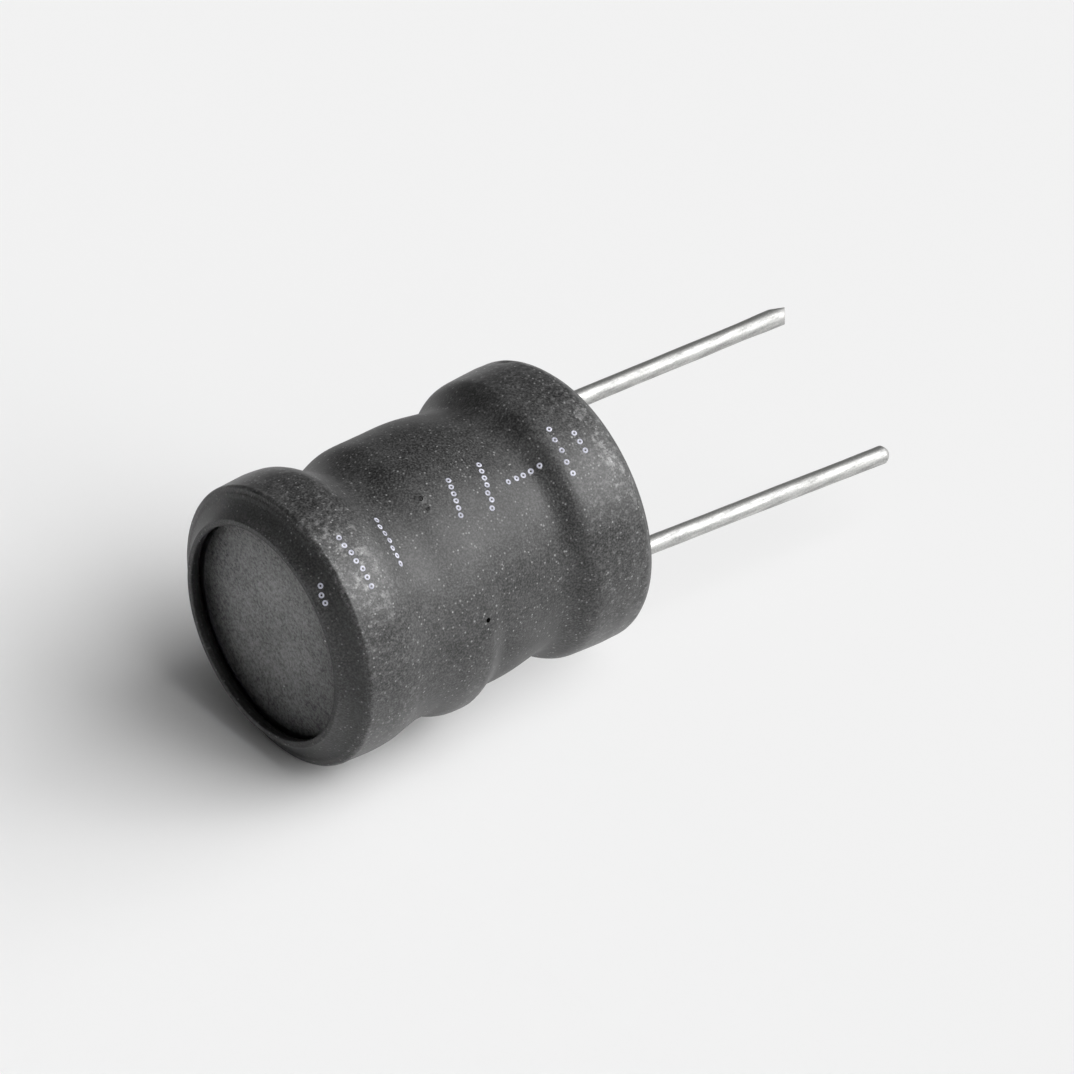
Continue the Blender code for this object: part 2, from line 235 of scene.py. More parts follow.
def swept(path: list[Vector], radii: list[float], segments: int) -> bmesh.types.BMesh:
    """Draws a round wire along a path.

    Args:
        path: The points of the wire's middle.
        radii: The wire's radius at each of them.
        segments: How many facets the wire has around it.

    Returns:
        The closed wire, with its faces pointing out.
    """
    bm = bmesh.new()
    start = path[1] - path[0]
    turn = start.to_track_quat("Z", "Y")
    place = Matrix.Translation(path[0]) @ turn.to_matrix().to_4x4() @ Matrix.Scale(radii[0], 4)
    made = bmesh.ops.create_circle(bm, cap_ends=True, segments=segments, radius=1.0, matrix=place)
    verts = made["verts"]
    edges = [e for e in bm.edges if e.is_boundary]
    for i in range(1, len(path)):
        ahead = path[min(i + 1, len(path) - 1)] - path[i - 1]
        turn = (turn @ Vector((0, 0, 1))).rotation_difference(ahead) @ turn
        goal = Matrix.Translation(path[i]) @ turn.to_matrix().to_4x4() @ Matrix.Scale(radii[i], 4)
        grown = bmesh.ops.extrude_edge_only(bm, edges=edges)["geom"]
        verts = [g for g in grown if isinstance(g, bmesh.types.BMVert)]
        edges = [g for g in grown if isinstance(g, bmesh.types.BMEdge) and g.is_boundary]
        bmesh.ops.transform(bm, matrix=goal @ place.inverted(), verts=verts)
        place = goal
    bmesh.ops.holes_fill(bm, edges=edges)
    face_outwards(bm)
    return bm


def joined(parts: list[bmesh.types.BMesh]) -> bmesh.types.BMesh:
    """Puts several meshes into one.

    Args:
        parts: The meshes, which are freed.

    Returns:
        All of them together.
    """
    whole = bmesh.new()
    for part in parts:
        mesh = bpy.data.meshes.new("part_of_a_piece")
        part.to_mesh(mesh)
        part.free()
        whole.from_mesh(mesh)
        bpy.data.meshes.remove(mesh)
    return whole


def new_object(name: str, bm: bmesh.types.BMesh, sharp_angle: float = 50.0) -> bpy.types.Object:
    """Makes an object of a bmesh, smooth but for its sharp edges.

    Args:
        name: The object's name.
        bm: The mesh, which is freed.
        sharp_angle: Edges that turn by more degrees than this stay sharp.

    Returns:
        The object, in the scene.
    """
    mesh = bpy.data.meshes.new(name)
    bm.to_mesh(mesh)
    bm.free()
    mesh.shade_smooth()
    mesh.set_sharp_from_angle(angle=math.radians(sharp_angle))
    obj = bpy.data.objects.new(name, mesh)
    bpy.context.scene.collection.objects.link(obj)
    return obj


def cut_away(obj: bpy.types.Object, cutters: list[bpy.types.Object]) -> None:
    """Cuts shapes out of an object, and removes the cutters.

    Args:
        obj: What is cut.
        cutters: Closed shapes.
    """
    for cutter in cutters:
        step = obj.modifiers.new(cutter.name, "BOOLEAN")
        step.operation = "DIFFERENCE"
        step.solver = "EXACT"
        step.object = cutter
    graph = bpy.context.evaluated_depsgraph_get()
    cut = bpy.data.meshes.new_from_object(obj.evaluated_get(graph))
    obj.modifiers.clear()
    obj.data = cut
    for cutter in cutters:
        bpy.data.objects.remove(cutter, do_unlink=True)


def place_piece(obj: bpy.types.Object, look: bpy.types.Material, slot: str, *nodes: str) -> None:
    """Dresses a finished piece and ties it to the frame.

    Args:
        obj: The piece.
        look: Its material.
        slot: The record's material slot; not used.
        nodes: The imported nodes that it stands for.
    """
    obj.data.materials.clear()
    obj.data.materials.append(look)
    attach(obj, ROOT)
    if nodes:
        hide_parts(*nodes)
    LOG.info("%s: %d triangles", obj.name, sum(len(p.vertices) - 2 for p in obj.data.polygons))


# Finishes


def feed(tree: Tree, entry: Socket, value: object) -> None:
    """Sets an input of a node, or links it.

    Args:
        tree: The node tree.
        entry: The input.
        value: A value, the output that feeds it, or a node whose first live output does.
    """
    if isinstance(value, bpy.types.Node):
        value = next(output for output in value.outputs if output.enabled)
    if isinstance(value, Socket):
        tree.links.new(value, entry)
    else:
        entry.default_value = value


def add_node(tree: Tree, kind: str, inputs: dict | None = None, **settings: object) -> bpy.types.Node:
    """Adds a node with its settings and links.

    Args:
        tree: The node tree.
        kind: The node's type without its ShaderNode prefix, such as "TexNoise".
        inputs: What feeds each input, by its name or number.
        settings: The node's own properties.

    Returns:
        The node.
    """
    made = tree.nodes.new("ShaderNode" + kind)
    for name, value in settings.items():
        setattr(made, name, value)
    for key, value in (inputs or {}).items():
        feed(tree, made.inputs[key], value)
    return made


# Numbers of the colour inputs of a Mix node, which share their names with its other inputs
MIX_A = 6
MIX_B = 7


def from_axis(tree: Tree, place: Socket) -> tuple[bpy.types.Node, bpy.types.Node]:
    """Measures how far each point stands from the drum's axis.

    Args:
        tree: The material's nodes.
        place: Object coordinates.

    Returns:
        Nodes that give the level vector from the axis to the point, and its length.
    """
    level = add_node(tree, "VectorMath", {0: place, 1: (1.0, 1.0, 0.0)}, operation="MULTIPLY")
    return level, add_node(tree, "VectorMath", {0: level}, operation="LENGTH")


@dataclass(frozen=True)
class Finish:
    """A procedural material; each kind of finish adds its own pattern."""

    name: str

    def build(self) -> bpy.types.Material:
        """Makes the material.

        Returns:
            A material whose Principled shader dress() has fed.
        """
        made = bpy.data.materials.new(self.name)
        made.use_nodes = True
        tree = made.node_tree
        place = add_node(tree, "TexCoord").outputs["Object"]
        feeds = self.dress(tree, place)
        shader = tree.nodes["Principled BSDF"]
        for name, value in feeds.items():
            feed(tree, shader.inputs[name], value)
        return made

    def dress(self, tree: Tree, place: Socket) -> Feeds:
        """Lays out the pattern; each kind of finish has its own.

        Args:
            tree: The material's nodes.
            place: Object coordinates.

        Returns:
            A value or a node for each input of the Principled shader that the finish sets.
        """
        raise NotImplementedError


@dataclass(frozen=True)
class MottledFinish(Finish):
    """A dark skin whose tone goes from grain to grain and drifts slowly over the piece."""

    dark: str = "101010"
    light: str = "505050"
    grain_mm: float = 0.1
    grain_detail: float = 1.0
    grain_roughness: float = 0.5
    grain_range: tuple[float, float] = (0.35, 0.7)
    tone_range: tuple[float, float] = (0.1, 0.9)
    cloud_mm: float = 1.0
    cloud_detail: float = 3.0
    cloud_roughness: float = 0.6
    cloud_range: tuple[float, float] = (0.35, 0.65)
    drift_range: tuple[float, float] = (-0.1, 0.1)
    rough_grain: tuple[float, float] = (0.3, 0.7)
    rough_range: tuple[float, float] = (0.4, 0.5)

    def grain(self, tree: Tree, place: Socket) -> bpy.types.Node:
        """The fine grain, which colour, bump and sheen all follow."""
        return add_node(tree, "TexNoise", {"Vector": place, "Scale": per_size(self.grain_mm),
                                           "Detail": self.grain_detail, "Roughness": self.grain_roughness})

    def mottle(self, tree: Tree, place: Socket, grain: bpy.types.Node) -> bpy.types.Node:
        """Finds how light the skin is, by its grain and a slow drift.

        Args:
            tree: The material's nodes.
            place: Object coordinates.
            grain: The fine grain.

        Returns:
            A node that gives 0 for the dark tone to 1 for the light one.
        """
        cloud = add_node(tree, "TexNoise", {
            "Vector": place, "Scale": per_size(self.cloud_mm), "Detail": self.cloud_detail,
            "Roughness": self.cloud_roughness})
        tone = add_node(tree, "MapRange", {
            "Value": grain, "From Min": self.grain_range[0], "From Max": self.grain_range[1],
            "To Min": self.tone_range[0], "To Max": self.tone_range[1]})
        drift = add_node(tree, "MapRange", {
            "Value": cloud, "From Min": self.cloud_range[0], "From Max": self.cloud_range[1],
            "To Min": self.drift_range[0], "To Max": self.drift_range[1]})
        return add_node(tree, "Math", {0: tone, 1: drift}, operation="ADD", use_clamp=True)

    def coloured(self, tree: Tree, mottle: bpy.types.Node) -> bpy.types.Node:
        """The skin's own colour, from its dark tone to its light one."""
        return add_node(tree, "Mix", {0: mottle, MIX_A: linear(self.dark), MIX_B: linear(self.light)},
                        data_type="RGBA")

    def roughened(self, tree: Tree, grain: bpy.types.Node) -> bpy.types.Node:
        """The skin's roughness, which goes from grain to grain."""
        return add_node(tree, "MapRange", {
            "Value": grain, "From Min": self.rough_grain[0], "From Max": self.rough_grain[1],
            "To Min": self.rough_range[0], "To Max": self.rough_range[1]})


@dataclass(frozen=True)
class Dust:
    """One size of dust: a speck in the middle of each cell of a random pattern, but for a share of them.

    Its reach is a share of the cell.
    """

    cell_mm: float
    reach: float
    bare_share: float


@dataclass(frozen=True)
class Pinhole:
    """A pinhole in the film: where it is, its radius, and how black its painted shade is from 0 to 1."""

    height: float
    bearing: float
    radius: float
    depth: float


@dataclass(frozen=True)
class ShrinkSleeveFinish(MottledFinish):
    """Heat-shrunk polyolefin: extruded, then shrunk, which leaves a matte skin with a fine mottled grain.

    To the eye it is neutral charcoal. Its sheen is broad and soft, and smoother where the film is
    stretched over the flanges, which are scuffed a little paler; on one side of them, pale blotches are
    painted highlight where the sheen falls. Pale dust is caught all over it, less on the head's flank.
    Shade is painted on the flank and on the wall inside the head's opening, and black shade in each pinhole.
    """

    # The film's own grain is finer than a pixel of the render, so it is drawn two pixels wide
    grain_mm: float = 0.062
    dark: str = "161616"
    light: str = "525252"
    grain_range: tuple[float, float] = (0.38, 0.72)
    tone_range: tuple[float, float] = (0.12, 0.9)
    cloud_mm: float = 1.1
    cloud_detail: float = 4.0
    drift_range: tuple[float, float] = (-0.1, 0.18)
    grain_height_mm: float = 0.009
    rough_range: tuple[float, float] = (0.42, 0.54)
    # Where the film is stretched, how much flatter its grain is, and how much smoother its skin
    taut_mm: tuple[float, float] = (4.24, 4.46)
    taut_flatter: float = 0.6
    taut_smoother: float = 0.09
    # Pale colour of the dust, and also of the scuffs and of the painted highlight blotches
    dust: str = "c4c4c4"
    dusts: tuple[Dust, ...] = (Dust(0.15, 0.25, 0.2), Dust(0.36, 0.13, 0.4))
    dust_strength: float = 0.5
    scuff_mm: float = 0.17
    scuff_range: tuple[float, float] = (0.52, 0.68)
    scuff_strength: float = 0.14
    # Painted highlight: the blotches lie round the sheen's bearing, and past a distance from the sleeve's
    # middle
    blotch_mm: float = 0.3
    blotch_range: tuple[float, float] = (0.51, 0.63)
    blotch_strength: float = 0.3
    blotch_smoother: float = 0.12
    blotch_bearing: float = math.radians(-6)
    blotch_facing: tuple[float, float] = (0.88, 0.97)
    blotch_reach_mm: tuple[float, float] = (3.95, 4.4)
    middle_mm: float = 6.1
    # Painted shade on the head's flank, most towards its corner, and on the wall inside its opening; the
    # flank holds less dust
    flank_mm: float = 0.58
    flank_edge: float = 0.85
    flank_shade: tuple[float, float] = (0.08, 0.42)
    flank_cleaner: float = 0.45
    lip_radius_mm: float = 3.5
    lip_edge_mm: float = 0.06
    lip_shade: float = 0.7
    # The hole colour below is painted black shade: on the flank, inside the opening and in the pinholes
    # A hole's rim starts at so many radii and rises so many grains high; the hole is so many deep
    hole: str = "040404"
    hole_edge: float = 0.7
    hole_grains: float = 6.0
    rim_reach: float = 2.4
    rim_grains: float = 3.0
    pinholes: tuple[tuple[Vector, Pinhole], ...] = ()

    def dress(self, tree: Tree, place: Socket) -> Feeds:
        """Mottles and scuffs the skin, paints highlight blotches and shade on its head, scatters dust and
        opens pinholes.
        """
        grain = self.grain(tree, place)
        colour = self.coloured(tree, self.mottle(tree, place, grain))
        level, radius = from_axis(tree, place)
        height = add_node(tree, "SeparateXYZ", {0: place}).outputs[2]
        taut = add_node(tree, "MapRange", {
            "Value": radius, "From Min": self.taut_mm[0] * MM, "From Max": self.taut_mm[1] * MM})
        # Painted highlight: pale blotches where the sheen falls on the flanges, with a smoother skin in them
        sheen_blotch = self.painted_sheen_blotches(tree, place, level, height, taut)
        colour = self.scuffed_with_painted_sheen(tree, place, colour, taut, sheen_blotch)
        flank_top = self.flank_mm * MM
        flank = add_node(tree, "MapRange", {
            "Value": height, "From Min": flank_top, "From Max": flank_top * self.flank_edge})
        # Painted shade on the head's flank and on the wall inside its opening
        colour = self.shaded(tree, colour, height, flank, radius)
        colour = self.dusted(tree, place, colour, flank)
        colour, relief, specular = self.pierced(tree, place, colour, grain)
        press = add_node(tree, "Math", {0: taut, 1: -self.taut_flatter, 2: 1.0}, operation="MULTIPLY_ADD")
        skin = add_node(tree, "Bump", {
            "Height": relief, "Strength": press, "Distance": self.grain_height_mm * MM})
        rough = self.roughened(tree, grain)
        smoothed = add_node(tree, "Math", {0: taut, 1: -self.taut_smoother, 2: rough},
                            operation="MULTIPLY_ADD")
        polished = add_node(tree, "Math", {0: sheen_blotch, 1: -self.blotch_smoother, 2: smoothed},
                            operation="MULTIPLY_ADD")
        return {"Base Color": colour, "Normal": skin, "Roughness": polished, "Specular IOR Level": specular,
                "IOR": 1.5}

    def painted_sheen_blotches(self, tree: Tree, place: Socket, level: bpy.types.Node, height: Socket,
                  taut: bpy.types.Node) -> bpy.types.Node:
        """Finds the blotches of painted highlight on the taut film of both flanges, on the side where the
        sheen falls.

        Args:
            tree: The material's nodes.
            place: Object coordinates.
            level: The level vector from the axis.
            height: Height above the head rim.
            taut: 1 where the film is stretched.

        Returns:
            A node that gives 1 in the blotches.
        """
        side = Vector((math.cos(self.blotch_bearing), math.sin(self.blotch_bearing), 0.0))
        outward = add_node(tree, "VectorMath", {0: level}, operation="NORMALIZE")
        facing = add_node(tree, "VectorMath", {0: outward, 1: side}, operation="DOT_PRODUCT")
        near = add_node(tree, "MapRange", {
            "Value": facing, "From Min": self.blotch_facing[0], "From Max": self.blotch_facing[1]})
        blotch = add_node(tree, "TexNoise", {
            "Vector": place, "Scale": per_size(self.blotch_mm), "Detail": 4.0, "Roughness": 0.75})
        patch = add_node(tree, "MapRange", {
            "Value": blotch, "From Min": self.blotch_range[0], "From Max": self.blotch_range[1]})
        beside = add_node(tree, "Math", {0: patch, 1: near}, operation="MULTIPLY")
        above = add_node(tree, "Math", {0: height, 1: self.middle_mm * MM}, operation="SUBTRACT")
        away = add_node(tree, "Math", {0: above}, operation="ABSOLUTE")
        first, last = self.blotch_reach_mm
        ends = add_node(tree, "MapRange", {"Value": away, "From Min": first * MM, "From Max": last * MM})
        tight = add_node(tree, "Math", {0: ends, 1: taut}, operation="MULTIPLY")
        return add_node(tree, "Math", {0: beside, 1: tight}, operation="MULTIPLY")

    def scuffed_with_painted_sheen(self, tree: Tree, place: Socket, colour: bpy.types.Node, taut: bpy.types.Node,
               sheen_blotch: bpy.types.Node) -> bpy.types.Node:
        """Pales the skin where it is scuffed, and paints highlight in the sheen blotches.

        Args:
            tree: The material's nodes.
            place: Object coordinates.
            colour: The colour so far.
            taut: 1 where the film is stretched.
            sheen_blotch: 1 in the blotches of painted highlight.

        Returns:
            The paler colour.
        """
        scuff = add_node(tree, "TexNoise", {
            "Vector": place, "Scale": per_size(self.scuff_mm), "Detail": 3.0, "Roughness": 0.7})
        scuffed = add_node(tree, "MapRange", {
            "Value": scuff, "From Min": self.scuff_range[0], "From Max": self.scuff_range[1]})
        worn = add_node(tree, "Math", {0: scuffed, 1: taut}, operation="MULTIPLY")
        thin = add_node(tree, "Math", {0: worn, 1: self.scuff_strength}, operation="MULTIPLY")
        # Pale from the scuffs, and painted highlight in the sheen blotches
        pale = add_node(tree, "Math", {0: sheen_blotch, 1: self.blotch_strength, 2: thin}, operation="MULTIPLY_ADD")
        return add_node(tree, "Mix", {0: pale, MIX_A: colour, MIX_B: linear(self.dust)}, data_type="RGBA")

    def shaded(self, tree: Tree, colour: bpy.types.Node, height: Socket, flank: bpy.types.Node,
               radius: bpy.types.Node) -> bpy.types.Node:
        """Paints shade on the head's flank, most towards its corner, and on the wall inside the head's
        opening.

        Args:
            tree: The material's nodes.
            colour: The colour so far.
            height: Height above the head rim.
            flank: 1 on the flank.
            radius: Distance from the axis.

        Returns:
            The darker colour.
        """
        inward = add_node(tree, "MapRange", {
            "Value": height, "From Min": 0.0, "From Max": 0.5 * self.flank_mm * MM,
            "To Min": self.flank_shade[0], "To Max": self.flank_shade[1]})
        on_flank = add_node(tree, "Math", {0: flank, 1: inward}, operation="MULTIPLY")
        inside = add_node(tree, "MapRange", {
            "Value": radius, "From Min": self.lip_radius_mm * MM,
            "From Max": (self.lip_radius_mm - self.lip_edge_mm) * MM, "To Max": self.lip_shade})
        shade = add_node(tree, "Math", {0: on_flank, 1: inside}, operation="MAXIMUM")
        return add_node(tree, "Mix", {0: shade, MIX_A: colour, MIX_B: linear(self.hole)}, data_type="RGBA")

    def dusted(self, tree: Tree, place: Socket, colour: bpy.types.Node,
               flank: bpy.types.Node) -> bpy.types.Node:
        """Scatters both sizes of dust.

        Args:
            tree: The material's nodes.
            place: Object coordinates.
            colour: The colour so far.
            flank: 1 on the head's flank, which holds less dust.

        Returns:
            The colour with dust on it.
        """
        held = add_node(tree, "Math", {0: flank, 1: -self.flank_cleaner, 2: 1.0}, operation="MULTIPLY_ADD")
        for dust in self.dusts:
            cell = add_node(tree, "TexVoronoi", {
                "Vector": place, "Scale": per_size(dust.cell_mm), "Randomness": 1.0})
            spot = add_node(tree, "MapRange", {
                "Value": cell, "From Min": dust.reach, "From Max": dust.reach * 0.4})
            draw = add_node(tree, "SeparateColor", {"Color": cell.outputs["Color"]})
            chosen = add_node(tree, "MapRange", {
                "Value": draw, "From Min": dust.bare_share, "From Max": 1.0, "To Max": self.dust_strength})
            caught = add_node(tree, "Math", {0: chosen, 1: held}, operation="MULTIPLY")
            amount = add_node(tree, "Math", {0: spot, 1: caught}, operation="MULTIPLY", use_clamp=True)
            colour = add_node(tree, "Mix", {0: amount, MIX_A: colour, MIX_B: linear(self.dust)},
                              data_type="RGBA")
        return colour

    def pierced(self, tree: Tree, place: Socket, colour: bpy.types.Node,
                relief: bpy.types.Node) -> tuple[bpy.types.Node, bpy.types.Node, bpy.types.Node | float]:
        """Opens each pinhole: painted black as the shade inside it, with a raised rim and no sheen.

        Args:
            tree: The material's nodes.
            place: Object coordinates.
            colour: The colour so far.
            relief: The skin's relief so far, in heights of its grain.

        Returns:
            The colour, the relief and the specular level.
        """
        specular = 0.5
        for middle, pinhole in self.pinholes:
            away = add_node(tree, "VectorMath", {0: place, 1: middle}, operation="DISTANCE")
            opening = add_node(tree, "MapRange", {
                "Value": away, "From Min": pinhole.radius, "From Max": pinhole.radius * self.hole_edge})
            # Painted shade: the pinhole is painted black
            black = add_node(tree, "Math", {0: opening, 1: pinhole.depth}, operation="MULTIPLY")
            colour = add_node(tree, "Mix", {0: black, MIX_A: colour, MIX_B: linear(self.hole)},
                              data_type="RGBA")
            rim = add_node(tree, "MapRange", {
                "Value": away, "From Min": pinhole.radius * self.rim_reach, "From Max": pinhole.radius,
                "To Max": self.rim_grains})
            raised = add_node(tree, "Math", {0: relief, 1: rim}, operation="ADD")
            relief = add_node(tree, "Math", {0: opening, 1: -self.hole_grains, 2: raised},
                              operation="MULTIPLY_ADD")
            specular = add_node(tree, "Math", {0: black, 1: -0.5, 2: specular}, operation="MULTIPLY_ADD",
                                use_clamp=True)
        return colour, relief, specular


@dataclass(frozen=True)
class FerriteFinish(MottledFinish):
    """Sintered nickel zinc ferrite: pressed from powder and fired, then left unglazed.

    To the eye it is a dry mid grey ceramic with fine grains, darker pores and a few bright crystals. Its
    sheen differs from grain to grain, and is less towards the edge, where the lip keeps the light off.
    """

    # Sintered grains are finer than a pixel of the render, so clumps of them are drawn
    grain_mm: float = 0.085
    dark: str = "101010"
    light: str = "505050"
    grain_detail: float = 2.0
    grain_roughness: float = 0.65
    grain_range: tuple[float, float] = (0.32, 0.68)
    tone_range: tuple[float, float] = (0.05, 0.95)
    cloud_mm: float = 0.9
    drift_range: tuple[float, float] = (-0.12, 0.12)
    grain_height_mm: float = 0.02
    rough_range: tuple[float, float] = (0.28, 0.44)
    pore: str = "0a0a0a"
    pore_share: float = 0.3
    crystal: str = "c4c4c4"
    crystal_share: float = 0.03
    spot_mm: float = 0.26
    spot_reach: float = 0.16
    sheen_range: tuple[float, float] = (0.24, 0.8)
    middle_sheen: float = 1.2
    edge_sheen: float = 0.42
    sheen_reach_mm: tuple[float, float] = (1.2, 3.4)

    def dress(self, tree: Tree, place: Socket) -> Feeds:
        """Grains the colour, sets pores and crystals in it, and dulls the sheen towards the edge."""
        grain = self.grain(tree, place)
        mottle = self.mottle(tree, place, grain)
        _, radius = from_axis(tree, place)
        skin = add_node(tree, "Bump", {
            "Height": grain, "Strength": 1.0, "Distance": self.grain_height_mm * MM})
        sheen = add_node(tree, "MapRange", {
            "Value": mottle, "To Min": self.sheen_range[0], "To Max": self.sheen_range[1]})
        share = add_node(tree, "MapRange", {
            "Value": radius, "From Min": self.sheen_reach_mm[0] * MM, "From Max": self.sheen_reach_mm[1] * MM,
            "To Min": self.middle_sheen, "To Max": self.edge_sheen}, interpolation_type="SMOOTHSTEP")
        lustre = add_node(tree, "Math", {0: sheen, 1: share}, operation="MULTIPLY")
        return {"Base Color": self.spotted(tree, place, self.coloured(tree, mottle)), "Normal": skin,
                "Roughness": self.roughened(tree, grain), "Specular IOR Level": lustre, "IOR": 2.1}

    def spotted(self, tree: Tree, place: Socket, colour: bpy.types.Node) -> bpy.types.Node:
        """Sets dark pores and a few bright crystals in the surface.

        Args:
            tree: The material's nodes.
            place: Object coordinates.
            colour: The colour so far.

        Returns:
            The spotted colour.
        """
        cell = add_node(tree, "TexVoronoi", {
            "Vector": place, "Scale": per_size(self.spot_mm), "Randomness": 1.0})
        spot = add_node(tree, "MapRange", {
            "Value": cell, "From Min": self.spot_reach, "From Max": self.spot_reach / 2})
        draw = add_node(tree, "SeparateColor", {"Color": cell.outputs["Color"]})
        pores = add_node(tree, "Math", {0: draw, 1: 1 - self.pore_share}, operation="GREATER_THAN")
        crystals = add_node(tree, "Math", {0: draw, 1: self.crystal_share}, operation="LESS_THAN")
        for kind, tone in ((pores, self.pore), (crystals, self.crystal)):
            amount = add_node(tree, "Math", {0: spot, 1: kind}, operation="MULTIPLY")
            colour = add_node(tree, "Mix", {0: amount, MIX_A: colour, MIX_B: linear(tone)}, data_type="RGBA")
        return colour


@dataclass(frozen=True)
class TinnedFinish(Finish):
    """Hot-dipped tin: drawn copper wire, or a soldered joint, that ran through molten tin.

    To the eye it is bright and almost white, with soft streaks along the wire where the tin froze.
    """

    light: str = "cfcfcd"
    dull: str = "989897"
    streak_mm: float = 0.12
    streak_stretch: float = 0.14
    grain_mm: float = 0.05
    grain_share: float = 0.35
    dull_range: tuple[float, float] = (0.35, 0.68)
    ripple_height_mm: float = 0.01
    ripple_strength: float = 0.7
    smooth: float = 0.42
    rough: float = 0.68

    def dress(self, tree: Tree, place: Socket) -> Feeds:
        """Streaks the tin along the wire, in colour, roughness and height."""
        along = add_node(tree, "Mapping", {"Vector": place, "Scale": (1.0, 1.0, self.streak_stretch)})
        streak = add_node(tree, "TexNoise", {
            "Vector": along, "Scale": per_size(self.streak_mm), "Detail": 3.0, "Roughness": 0.6})
        grain = add_node(tree, "TexNoise", {"Vector": place, "Scale": per_size(self.grain_mm), "Detail": 2.0})
        relief = add_node(tree, "Mix", {0: self.grain_share, 2: streak, 3: grain}, data_type="FLOAT")
        amount = add_node(tree, "MapRange", {
            "Value": relief, "From Min": self.dull_range[0], "From Max": self.dull_range[1]})
        colour = add_node(tree, "Mix", {0: amount, MIX_A: linear(self.light), MIX_B: linear(self.dull)},
                          data_type="RGBA")
        rough = add_node(tree, "MapRange", {"Value": amount, "To Min": self.smooth, "To Max": self.rough})
        skin = add_node(tree, "Bump", {
            "Height": relief, "Strength": self.ripple_strength, "Distance": self.ripple_height_mm * MM})
        return {"Base Color": colour, "Metallic": 1.0, "Roughness": rough, "Normal": skin}


@dataclass(frozen=True)
class EnamelFinish(Finish):
    """Enamelled copper winding wire: drawn copper under a clear amber varnish.

    To the eye it is a warm reddish brown metal under a gloss coat.
    """

    light: str = "b5622f"
    dark: str = "7d3815"
    streak_mm: float = 0.4
    relief_mm: float = 0.005
    relief_strength: float = 0.4
    rough_range: tuple[float, float] = (0.22, 0.4)
    coat: float = 0.6
    coat_roughness: float = 0.12

    def dress(self, tree: Tree, place: Socket) -> Feeds:
        """Varies the varnish's depth, and coats the copper with it."""
        streak = add_node(tree, "TexNoise", {
            "Vector": place, "Scale": per_size(self.streak_mm), "Detail": 4.0})
        colour = add_node(tree, "Mix", {0: streak, MIX_A: linear(self.dark), MIX_B: linear(self.light)},
                          data_type="RGBA")
        rough = add_node(tree, "MapRange", {
            "Value": streak, "To Min": self.rough_range[0], "To Max": self.rough_range[1]})
        skin = add_node(tree, "Bump", {
            "Height": streak, "Strength": self.relief_strength, "Distance": self.relief_mm * MM})
        return {"Base Color": colour, "Metallic": 1.0, "Roughness": rough, "Normal": skin,
                "Coat Weight": self.coat, "Coat Roughness": self.coat_roughness}


@dataclass(frozen=True)
class ResinFinish(Finish):
    """Cast resin, such as epoxy cement or marking ink: it flowed, then set.

    To the eye it is one quiet colour with a soft gloss and a faint unevenness.
    """

    light: str
    dark: str
    cloud_mm: float = 0.15
    cloud_range: tuple[float, float] = (0.35, 0.65)
    relief_mm: float = 0.006
    relief_strength: float = 0.5
    roughness: float = 0.4
    rough_spread: float = 0.1

    def dress(self, tree: Tree, place: Socket) -> Feeds:
        """Clouds the colour a little, and dimples the skin."""
        cloud = add_node(tree, "TexNoise", {"Vector": place, "Scale": per_size(self.cloud_mm), "Detail": 3.0})
        spread = add_node(tree, "MapRange", {
            "Value": cloud, "From Min": self.cloud_range[0], "From Max": self.cloud_range[1]})
        colour = add_node(tree, "Mix", {0: spread, MIX_A: linear(self.dark), MIX_B: linear(self.light)},
                          data_type="RGBA")
        rough = add_node(tree, "MapRange", {
            "Value": cloud, "To Min": self.roughness - self.rough_spread,
            "To Max": self.roughness + self.rough_spread})
        skin = add_node(tree, "Bump", {
            "Height": cloud, "Strength": self.relief_strength, "Distance": self.relief_mm * MM})
        return {"Base Color": colour, "Roughness": rough, "Normal": skin}


# The drum's and the leads' form, which several pieces follow


